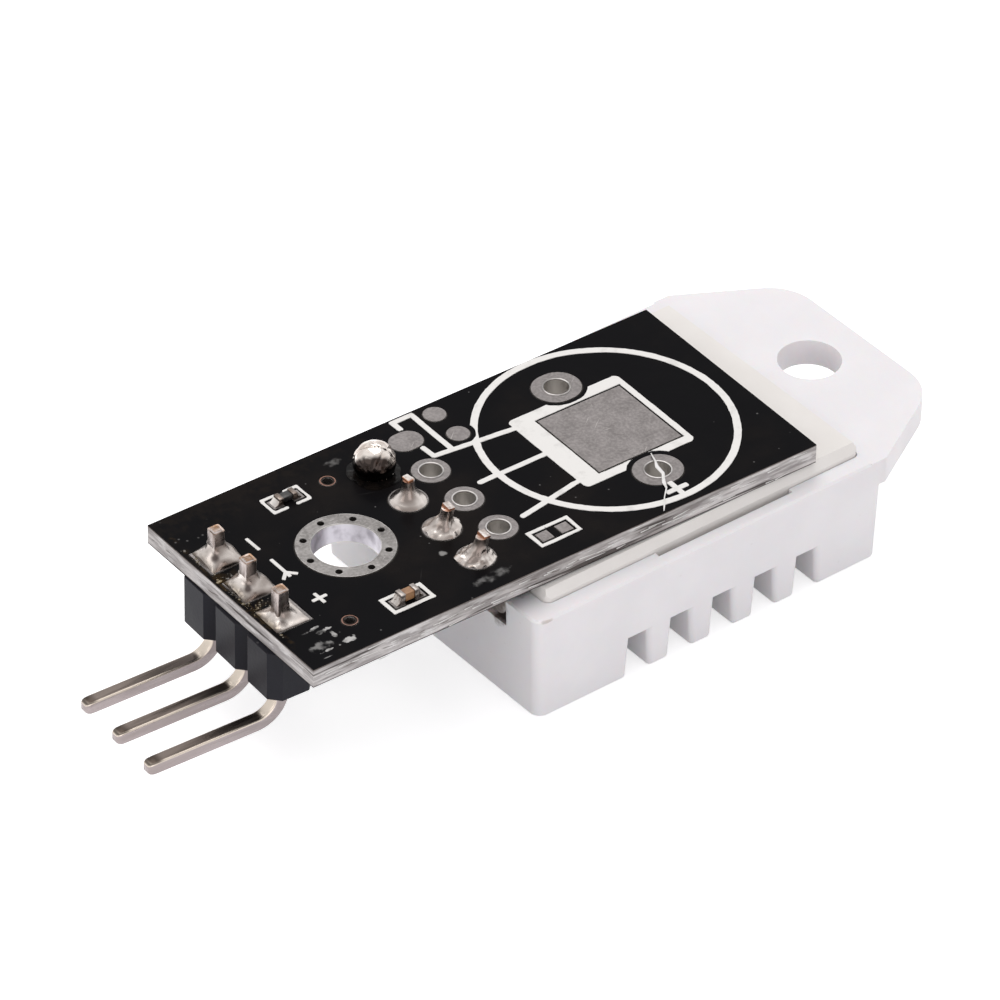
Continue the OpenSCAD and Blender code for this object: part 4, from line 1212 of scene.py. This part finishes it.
@dataclass
class AngledHeader:
    """The three-pin header: housing, bent pins and solder joints."""

    row_x: float = -5.28
    row_y: float = 0.05
    skew: float = -1.8
    pitch: float = PITCH
    wire: float = 0.64
    wire_loss: float = 0.03
    corner: float = 0.1
    tail_steps: int = 9
    bend_steps: int = 16
    tip_steps: tuple[tuple[float, float], ...] = (
        (0.26, 0.97), (0.12, 0.9), (0.08, 0.84), (0.04, 0.76))
    end_insets: tuple[tuple[float, float], ...] = ((0.035, 0.02), (0.055, 0.0), (0.05, -0.05))
    board_top: float = 1.0
    foot: float = 0.1
    tail: float = 1.65
    clipped: float = 0.05
    bend_radius: float = 1.35
    level: float = -4.3
    reach: float = 7.05
    tip: float = 0.5
    pad: float = 1.74
    pad_shift: float = 0.14
    joint_height: float = 0.95
    joint_lift: float = 0.01
    joint_cuts: int = 9
    full_profile: tuple[tuple[float, float], ...] = (
        (0.87, 0.07), (0.865, 0.14), (0.845, 0.21), (0.80, 0.29), (0.74, 0.36), (0.665, 0.42),
        (0.59, 0.475), (0.515, 0.54), (0.445, 0.62), (0.385, 0.70), (0.34, 0.78), (0.305, 0.86),
        (0.28, 0.94))
    flat_profile: tuple[tuple[float, float], ...] = (
        (0.87, 0.03), (0.85, 0.06), (0.80, 0.085), (0.73, 0.115), (0.65, 0.15), (0.57, 0.20),
        (0.50, 0.27), (0.45, 0.36), (0.40, 0.46), (0.365, 0.56), (0.335, 0.68), (0.305, 0.80),
        (0.28, 0.94))
    smears: tuple[Numbers, ...] = (
        (-5.56, 2.12, 1.42, 0.27, 0.27, 0.34), (-5.64, -0.44, 1.42, 0.26, 0.28, 0.36),
        (-5.62, -3.08, 1.3, 0.34, 0.36, 0.4), (-5.98, 3.3, 1.0, 0.42, 0.42, 0.3),
        (-6.05, 0.75, 1.0, 0.42, 0.42, 0.3), (-6.1, -1.95, 1.0, 0.25, 0.3, 0.15))
    count: int = 3
    bead_count: int = 120
    bead_rows: Point = (-1.3, -1.3, 1.2)

    def place(self, piece: Piece, number: int) -> None:
        """Moves a piece from the row's middle to a pin's place, askew as the header is."""
        settle(piece)
        turn = math.radians(self.skew)
        along = ((self.count + 1) / 2 - number) * self.pitch
        piece.location = mm(self.row_x - along * math.sin(turn),
                            self.row_y + along * math.cos(turn), 0)
        piece.rotation_euler = (0, 0, turn)
        settle(piece)

    def pin(self, number: int) -> Piece:
        """Builds one bent pin from a square that is extruded, spun and tapered.

        Args:
            number: The pin's number from the far side.

        Returns:
            The pin.
        """
        top = self.board_top + self.tail - self.clipped
        slim = self.wire - self.wire_loss
        foot = self.board_top - self.foot
        turn_z = self.level + self.bend_radius
        pin = settle(add(bpy.ops.mesh.primitive_plane_add, size=slim * MM,
                         location=mm(0, 0, top)))
        with editing(pin, Pick.VERTS):
            select_all()
            bpy.ops.mesh.bevel(offset=self.corner * MM, segments=3, affect="VERTICES")
            bpy.ops.mesh.select_mode(type="FACE")
            select_all()
            for _ in range(self.tail_steps):
                extrude(mm(0, 0, (foot - top) / self.tail_steps))
            resize((self.wire / slim,) * 2 + (1,), mm(0, 0, foot))
            extrude(mm(0, 0, turn_z - self.board_top + self.foot))
            bpy.ops.mesh.spin(steps=self.bend_steps, angle=-math.pi / 2,
                              center=mm(-self.bend_radius, 0, turn_z), axis=(0, 1, 0))
            run = self.reach - self.bend_radius - self.tip
            extrude(mm(-run, 0, 0))
            at = -self.reach + self.tip
            for step, size in self.tip_steps:
                at -= step
                extrude(mm(-step, 0, 0))
                resize((1, size, size), mm(at, 0, self.level))
            mesh = bmesh.from_edit_mesh(pin.data)
            for face in mesh.faces:
                face.select_set(face.calc_center_median().z > (top - 0.01) * MM)
            mesh.select_flush_mode()
            bmesh.update_edit_mesh(pin.data)
            for inset, depth in self.end_insets:
                bpy.ops.mesh.inset(thickness=inset * MM, depth=depth * MM)
        face_outwards(pin)
        roughen(pin, 0.9, 0.03, number, lambda where: unit(where.z / MM - 1.5))
        flatten_flats(pin, SOFT_ANGLE)
        self.place(pin, number)
        return finish_piece(pin, f"bent_pin_{number}", WireFinish(),
                            f"header_pin_{number}", f"header_pin_{number}")

    def joint(self, number: int) -> Piece:
        """Builds one fillet of solder, square at the board and round at its pin.

        Args:
            number: The joint's number from the far side.

        Returns:
            The joint.
        """
        low = self.board_top + self.joint_lift
        profile = self.flat_profile if number == self.count else self.full_profile
        joint = settle(add(bpy.ops.mesh.primitive_plane_add, size=self.pad * MM,
                           location=mm(self.pad_shift, 0, low)))
        with editing(joint, Pick.VERTS):
            select_all()
            bpy.ops.mesh.subdivide(number_cuts=self.joint_cuts)
            bpy.ops.mesh.select_mode(type="FACE")
            select_all()
            half, rise, shift = self.pad / 2, low, self.pad_shift
            for new_half, height in profile:
                new_rise = low + height
                new_shift = self.pad_shift * (1 - height / self.joint_height)
                extrude(mm(new_shift - shift, 0, new_rise - rise))
                grow = new_half / half
                resize((grow, grow, 1), mm(new_shift, 0, new_rise))
                half, rise, shift = new_half, new_rise, new_shift
        for vert in joint.data.vertices:
            height = (vert.co.z / MM - low) / self.joint_height
            centre = self.pad_shift * MM * (1 - height)
            flat = Vector((vert.co.x - centre, vert.co.y, 0))
            part = unit((height - 0.03) * 3.2) * unit((0.9 - height) * 3)
            if flat.length > 1e-7:
                widest = max(abs(flat.x), abs(flat.y))
                round_to = flat / flat.length * widest
                vert.co.x += (round_to.x - flat.x) * part
                vert.co.y += (round_to.y - flat.y) * part
        roughen(joint, 1.0, 0.06, number, lambda where: max(
            0.1, 1.0 - abs(where.z / MM - 1.35) / 0.5) if where.z > 1.06 * MM else 0.0)
        face_outwards(joint)
        smooth(joint, 65)
        self.place(joint, number)
        finish = SolderFinish("header_solder_finish", dirt=0.12, rough=0.25, lumps=0.007,
                              burnt=(0.055, 0.04, 0.037), near=(-0.35, -0.93, -0.1),
                              amber_edge=-6.08, marks=self.smears)
        return finish_piece(joint, f"header_joint_{number}", finish,
                            f"header_solder_{number}", f"header_solder_{number}")

    def flux_beads(self) -> Piece:
        """Builds the beads of flux that lie by the joints, on the side of the board's end."""
        beads = []
        for i in range(self.bead_count):
            x = -6.02 + chance(i, 1) * 0.15
            y = chance(i, 2) * 3.4 + chance(i, 8) * 0.9
            if i % 3 == 2:
                x = -5.5 + chance(i, 3) * 0.5
                y = self.bead_rows[i % 9 // 3] + chance(i, 4) * 0.28
            size = 0.014 + chance(i, 5) ** 2 * 0.075
            bead = add(bpy.ops.mesh.primitive_ico_sphere_add, subdivisions=2, radius=size * MM,
                       location=mm(x, y, self.board_top))
            bead.scale = (1.0 + chance(i, 6) * 0.4, 1.0, 0.55)
            bead.rotation_euler = (0, 0, chance(i, 7) * 3.0)
            beads.append(bead)
        piece = join_all(beads)
        smooth(piece, 80)
        # The strong pale specks on the beads are bubbles and painted glints.
        finish = FluxFinish("amber_beads", amber=(0.20, 0.145, 0.06), black=(0.02, 0.013, 0.007),
                            fleck=0.8, shine=1.0)
        return finish_piece(piece, "flux_beads", finish, "mask_top")

    def housing(self) -> Piece:
        """Builds the moulded strip of three blocks."""
        strip = softened(copied("header_housing"), 0.06, 2)
        finish = MouldedFinish("black_moulding", body=(0.011, 0.011, 0.0155),
                               shade=(0.015, 0.015, 0.021), grime=(0.2, 0.19, 0.19),
                               dust=0.3, shine=0.15)
        return finish_piece(strip, "header_strip", finish, "header_housing", "header_housing")

    def build(self) -> None:
        """Builds all pieces of the header."""
        self.housing()
        self.flux_beads()
        for number in range(1, self.count + 1):
            self.pin(number)
            self.joint(number)


@dataclass
class SensorJoints:
    """The four solder joints of the sensor, and its pins."""

    row_x: float = 4.2
    row_y: float = -0.2
    pitch: float = PITCH
    land_top: float = 1.02
    radius: float = 0.86
    neck: float = 0.265
    lean: tuple[float, float] = (0.158, -0.108)
    height: float = 1.12
    sunk: float = 0.01
    steps: int = 18
    narrowing: float = 2.5
    climb: float = 1.1
    first_step: float = 0.05
    lean_from: float = 0.95
    ball_radius: float = 0.98
    ball_rise: float = 0.52
    groove: tuple[float, float] = (-0.055, 0.05)
    fold: Point = (0.035, 0.03, 0.6)
    pool_radius: float = 1.27
    pool_shift: tuple[float, float] = (-0.03, -0.06)
    pool_steps: tuple[tuple[float, float], ...] = ((0.03, 0.05), (0.025, 0.08), (0.015, 0.1))
    count: int = 4

    def where(self, number: int) -> tuple[float, float]:
        """Returns the middle of a joint in millimetres."""
        return self.row_x, self.row_y + ((self.count + 1) / 2 - number) * self.pitch

    def ball(self) -> Piece:
        """Builds the one round joint from a ball that is cut flat at the board."""
        x, y = self.where(1)
        middle = self.land_top + self.ball_rise
        ball = settle(add(bpy.ops.mesh.primitive_uv_sphere_add, segments=80, ring_count=48,
                          radius=self.ball_radius * MM, location=mm(x, y, middle)))
        with editing(ball, Pick.VERTS):
            select_all()
            bpy.ops.mesh.bisect(plane_co=mm(x, y, self.land_top - self.sunk), plane_no=UP,
                                clear_inner=True, use_fill=True)
        roughen(ball, 1.1, 0.08, 3, lambda where: 1.0 if where.z > 1.1 * MM else 0.0)
        self.crease(ball, Vector((x, y, middle)))
        face_outwards(ball)
        smooth(ball, 60)
        # Painted reflection: the ball's lower near side is darkened as the black board would show
        # in it, and the mark at its foot is that painted reflection together with burnt flux.
        finish = SolderFinish("ball_solder", silver=(0.84, 0.775, 0.725), dark=(0.50, 0.42, 0.37),
                              near_shade=(0.016, 0.009, 0.007), burnt=(0.008, 0.006, 0.005), rough=0.1,
                              dirt=0.0, lumps=0.006, blotch=1000.0, near=(-0.5, -0.7, -0.5),
                              near_shade_share=0.97, near_shade_span=(0.06, 0.42),
                              marks=((x, y, 0.95, 1.3, 1.3, 0.42),))
        return finish_piece(ball, "round_joint", finish, "sensor_solder_1", "sensor_solder_1")

    def crease(self, ball: Piece, middle: Vector) -> None:
        """Folds two fine creases into the ball, as its skin has from cooling.

        Args:
            ball: The ball.
            middle: Its middle in millimetres.
        """
        folds = ((Vector((0.72, 0.69, 0.05)).normalized(), -0.08, Vector((-0.2, -0.1, 1.0))),
                 (Vector((-0.45, 0.88, 0.12)).normalized(), -0.42, Vector((0.3, -0.6, 0.6))))
        (depth, width), (height, slope, fade) = self.groove, self.fold
        for vert in ball.data.vertices:
            place = vert.co / MM - middle
            for across, offset, side in folds:
                if place.dot(side) < 0.25:
                    continue
                away = place.dot(across) - offset
                groove = depth * math.exp(-(away / width) ** 2)
                step = height / (1 + math.exp(-away / slope)) * math.exp(-(away / fade) ** 2)
                vert.co += vert.normal * (groove + step) * MM

    def lean_over(self, joint: Piece) -> None:
        """Leans a joint over with its pin, more towards its top."""
        for vert in joint.data.vertices:
            rise = max(0.0, vert.co.z / MM - self.lean_from)
            vert.co += Vector(mm(*(value * rise for value in self.lean), 0))

    def cone(self, number: int, lumps: float, dirt: float) -> Piece:
        """Builds one fillet of solder that thins out up its pin.

        Args:
            number: The joint's number from the far side.
            lumps: Height of the lumps on it, in millimetres.
            dirt: How much burnt flux is on it.

        Returns:
            The joint.
        """
        x, y = self.where(number)
        joint = settle(add(bpy.ops.mesh.primitive_circle_add, vertices=64, fill_type="NGON",
                           radius=self.radius * MM,
                           location=mm(x, y, self.land_top - self.sunk)))
        with editing(joint):
            select_all()
            radius, level = self.radius, self.land_top - self.sunk
            first = self.first_step
            for i in range(1, self.steps + 1):
                part = i / self.steps
                new_radius = (self.neck
                              + (self.radius - self.neck) * (1 - part) ** self.narrowing)
                new_level = self.land_top + first + (self.height - first) * part ** self.climb
                extrude(mm(0, 0, new_level - level))
                grow = new_radius / radius
                resize((grow, grow, 1), mm(x, y, new_level))
                radius, level = new_radius, new_level
        roughen(joint, 0.5, lumps, number * 3,
                lambda where: 1.0 - 0.9 * unit((where.z / MM - 1.25) / 0.5))
        if number > 2:
            self.lean_over(joint)
        face_outwards(joint)
        smooth(joint, 70)
        finish = SolderFinish(f"cone_solder_{number}", dirt=dirt, rough=0.24, lumps=0.015)
        return finish_piece(joint, f"cone_joint_{number}", finish,
                            f"sensor_solder_{number}", f"sensor_solder_{number}")

    def flux_pool(self) -> Piece:
        """Builds the dark pool of flux round the round joint."""
        x, y = self.where(1)
        over, across = self.pool_shift
        pool = settle(add(bpy.ops.mesh.primitive_circle_add, vertices=64, fill_type="NGON",
                          radius=self.pool_radius * MM, location=mm(x + over, y + across, 1.0)))
        with editing(pool):
            select_all()
            for rise, inset in self.pool_steps:
                extrude(mm(0, 0, rise))
                bpy.ops.mesh.inset(thickness=inset * MM)
        for vert in pool.data.vertices:
            out = Vector((vert.co.x - x * MM, vert.co.y - y * MM, 0))
            if out.length > 0.5 * MM:
                shake = noise.noise(out.normalized() * 1.5 + Vector((3.3, 0, 0))) * 0.2
                vert.co += out * shake
        face_outwards(pool)
        smooth(pool, 60)
        return finish_piece(pool, "flux_pool", FluxFinish(), "mask_top")

    def build(self) -> None:
        """Builds all joints and dresses the sensor's pins."""
        self.ball()
        self.flux_pool()
        self.cone(2, 0.02, 0.05)
        self.cone(3, 0.13, 0.3)
        self.cone(4, 0.2, 0.4)
        for number in range(1, self.count + 1):
            name = f"sensor_pin_{number}"
            pin = softened(copied(name, 0.005), 0.07, 3)
            finish_piece(pin, f"clipped_{name}", CutPinFinish(), name, name)


@dataclass
class SensorBody:
    """The white moulded sensor: housing, lid and what is inside."""

    # Where the notch under the board is darkened as painted shade, in millimetres: middle and
    # reach.
    notch_shade: tuple[Numbers, ...] = ((5.6, -5.0, -1.3, 1.4, 1.0, 1.5),)
    face_z: float = -6.34
    teeth: float = 0.2
    mouth: float = 0.29
    wall_y: float = 7.0
    roof_z: float = -4.1
    edge: float = 0.07
    lid_edge: float = 0.12

    def housing(self) -> Piece:
        """Builds the housing, with soft corners on the teeth of its grille."""
        housing = copied("sensor_housing")
        limit = (self.face_z + self.teeth) * MM
        wall, roof = self.wall_y * MM, self.roof_z * MM
        rounded = round_edges(
            housing, lambda middle, turn: turn > 60 and (
                middle.z < limit or (middle.z < roof and abs(middle.y) > wall)), self.mouth, 4)
        LOG.info("grille: %d edges rounded", rounded)
        softened(housing, self.edge, 2, 32)
        finish = MouldedFinish(
            "white_abs", body=(0.83, 0.812, 0.825), shade=(0.79, 0.772, 0.787),
            dust=0.1, glow=0.15,
            scuffs=((5.34, -7.85, -0.72, 0.42, 0.3, 0.10), (4.8, -7.6, -0.66, 0.25, 0.2, 0.06)),
            recess_shades=self.notch_shade)
        return finish_piece(housing, "moulded_housing", finish, "sensor_housing", "sensor_housing")

    def lid(self) -> Piece:
        """Builds the lid."""
        lid = softened(copied("sensor_lid"), self.lid_edge, 3, 25)
        finish = MouldedFinish("cream_lid", body=(0.82, 0.795, 0.76), shade=(0.77, 0.74, 0.705),
                               gloss=Gloss.MATT, dust=0.15, recess_shades=self.notch_shade)
        return finish_piece(lid, "moulded_lid", finish, "sensor_lid", "sensor_lid")

    def build(self) -> None:
        """Builds the housing and lid, and dresses the inner parts."""
        self.housing()
        self.lid()
        inner = {
            "sensor_board": CeramicFinish("green_board", body=(0.03, 0.12, 0.045),
                                          fleck=(0.02, 0.08, 0.03)),
            "humidity_element": CeramicFinish("polymer_film", body=(0.62, 0.58, 0.48),
                                              fleck=(0.5, 0.46, 0.38), rough=0.25),
            "temperature_element": CeramicFinish("black_bead", body=(0.012, 0.012, 0.012),
                                                 fleck=(0.03, 0.03, 0.03)),
            "controller_chip": CeramicFinish("black_epoxy", body=(0.014, 0.014, 0.015),
                                             fleck=(0.03, 0.03, 0.03), rough=0.5)}
        for node, finish in inner.items():
            dress(frame["nodes"][node], finish.material())


@dataclass
class SmallComponents:
    """The resistor and the capacitor with their solder."""

    def build(self) -> None:
        """Dresses the small components."""
        tan = CeramicFinish("tan_ceramic")
        black = CeramicFinish("resistor_glaze", body=(0.012, 0.011, 0.012),
                              fleck=(0.03, 0.027, 0.025), rough=0.3)
        # The caps' wall colours paint shade on their upright faces.
        ends = TinFinish("end_caps", grey=(0.44, 0.40, 0.38), dark=(0.17, 0.145, 0.13),
                         wall=(0.36, 0.32, 0.30), rough=0.3)
        dark_ends = TinFinish("stained_caps", grey=(0.26, 0.21, 0.18), dark=(0.08, 0.06, 0.05),
                              wall=(0.16, 0.125, 0.105), rough=0.3)
        solder = SolderFinish("small_fillets", silver=(0.88, 0.84, 0.80), dirt=0.25, rough=0.13)
        finishes = {
            "resistor_body": black, "capacitor_body": tan, "resistor_ends": dark_ends,
            "capacitor_ends": ends, "resistor_solder": solder, "capacitor_solder": solder}
        for node, finish in finishes.items():
            piece = softened(copied(node, 0.005), 0.035, 3)
            finish_piece(piece, f"soft_{node}", finish, node, node)


@dataclass
class Studio:
    """Floor, world, lamps and the photograph's camera."""

    camera_at: Point = (-171.7682, -236.4534, 228.3185)
    turn: float = -0.651441
    tilt: float = 0.915405
    roll: float = 0.019166
    lens: float = 301.123
    sensor: float = 36.0
    floor_z: float = -6.34
    floor_gap: float = 0.01
    floor_side: float = 4.0
    ambient: float = 0.72
    aim: Point = (8, 0, 0)
    lamps: tuple[tuple[str, Point, float, float, Colour], ...] = (
        ("soft_top", (60, 160, 420), 320, 0.72, (1.0, 0.985, 0.96)),
        ("soft_left", (-420, 40, 240), 260, 0.2, (1.0, 0.98, 0.96)),
        ("soft_front", (-140, -420, 130), 300, 0.3, (1.0, 0.97, 0.985)))

    def camera(self) -> Piece:
        """Adds the camera at the photograph's place."""
        camera = add(bpy.ops.object.camera_add, location=mm(*self.camera_at))
        camera.name = "photo_camera"
        camera.matrix_world = (Matrix.Translation(mm(*self.camera_at))
                               @ Matrix.Rotation(self.turn, 4, "Z")
                               @ Matrix.Rotation(self.tilt, 4, "X")
                               @ Matrix.Rotation(self.roll, 4, "Z"))
        camera.data.lens = self.lens
        camera.data.sensor_width = self.sensor
        camera.data.clip_start = 0.01
        bpy.context.scene.camera = camera
        return camera

    def floor(self) -> Piece:
        """Adds the pale floor that keeps the object's shadow."""
        floor = add(bpy.ops.mesh.primitive_plane_add, size=self.floor_side,
                    location=mm(0, 0, self.floor_z - self.floor_gap))
        floor.name = "studio_floor"
        material = bpy.data.materials.new("studio_floor")
        material.use_nodes = True
        desk = NodeDesk(material.node_tree)
        shader = material.node_tree.nodes["Principled BSDF"]
        desk.fill(shader, {"Base Color": (0.82, 0.82, 0.82, 1.0), "Roughness": 0.9,
                           "Specular IOR Level": 0.0})
        seen = self.seen_rays(desk)
        glow = desk.put("ShaderNodeEmission", {"Color": (1.0, 1.0, 1.0, 1.0),
                                               "Strength": desk.times(seen, 0.6)})
        both = desk.put("ShaderNodeAddShader", {0: shader.outputs[0], 1: glow.outputs[0]})
        output = material.node_tree.nodes["Material Output"]
        desk.tree.links.new(both.outputs[0], output.inputs["Surface"])
        dress(floor, material)
        return floor

    @staticmethod
    def seen_rays(desk: NodeDesk) -> Socket:
        """Returns 1 for rays of the camera, of gloss and through glass."""
        path = desk.put("ShaderNodeLightPath").outputs
        return desk.most(path["Is Camera Ray"], path["Is Glossy Ray"],
                         path["Is Transmission Ray"])

    def world(self) -> None:
        """Sets a plain pale world, white where it is seen."""
        world = bpy.data.worlds.new("studio")
        bpy.context.scene.world = world
        world.use_nodes = True
        desk = NodeDesk(world.node_tree)
        shade = world.node_tree.nodes["Background"]
        desk.fill(shade, {"Color": (0.985, 0.975, 1.0, 1.0), "Strength": self.ambient})
        white = desk.put("ShaderNodeBackground", {"Color": (1.0, 1.0, 1.0, 1.0), "Strength": 1.0})
        both = desk.put("ShaderNodeMixShader", {0: self.seen_rays(desk), 1: shade.outputs[0],
                                                2: white.outputs[0]})
        output = world.node_tree.nodes["World Output"]
        desk.tree.links.new(both.outputs[0], output.inputs["Surface"])

    def lamp(self, name: str, place: Point, size: float, power: float, colour: Colour) -> None:
        """Adds a soft lamp that looks at the object.

        Args:
            name: Its name.
            place: Where it stands, in millimetres.
            size: Its side, in millimetres.
            power: Its power in watts.
            colour: Its colour.
        """
        lamp = add(bpy.ops.object.light_add, type="AREA", location=mm(*place))
        lamp.name = name
        lamp.data.size = size * MM
        lamp.data.energy = power
        lamp.data.color = colour
        aim = Vector(mm(*self.aim)) - Vector(mm(*place))
        lamp.rotation_euler = aim.to_track_quat("-Z", "Y").to_euler()

    def build(self) -> None:
        """Builds the studio."""
        self.world()
        self.floor()
        self.camera()
        for values in self.lamps:
            self.lamp(*values)
        bpy.context.scene.view_settings.view_transform = "Standard"


def main() -> None:
    """Builds the studio and the object's pieces in order."""
    logging.basicConfig(level=logging.INFO, format="%(name)s %(message)s")
    Studio().build()
    board = CircuitBoard()
    board.dress_nodes()
    board.torn_fibres()
    board.ring_lips()
    board.loose_sliver()
    marks = PrintedMarks()
    marks.lines()
    marks.signs()
    AngledHeader().build()
    SensorJoints().build()
    SensorBody().build()
    SmallComponents().build()


if __name__ == "__main__":
    main()
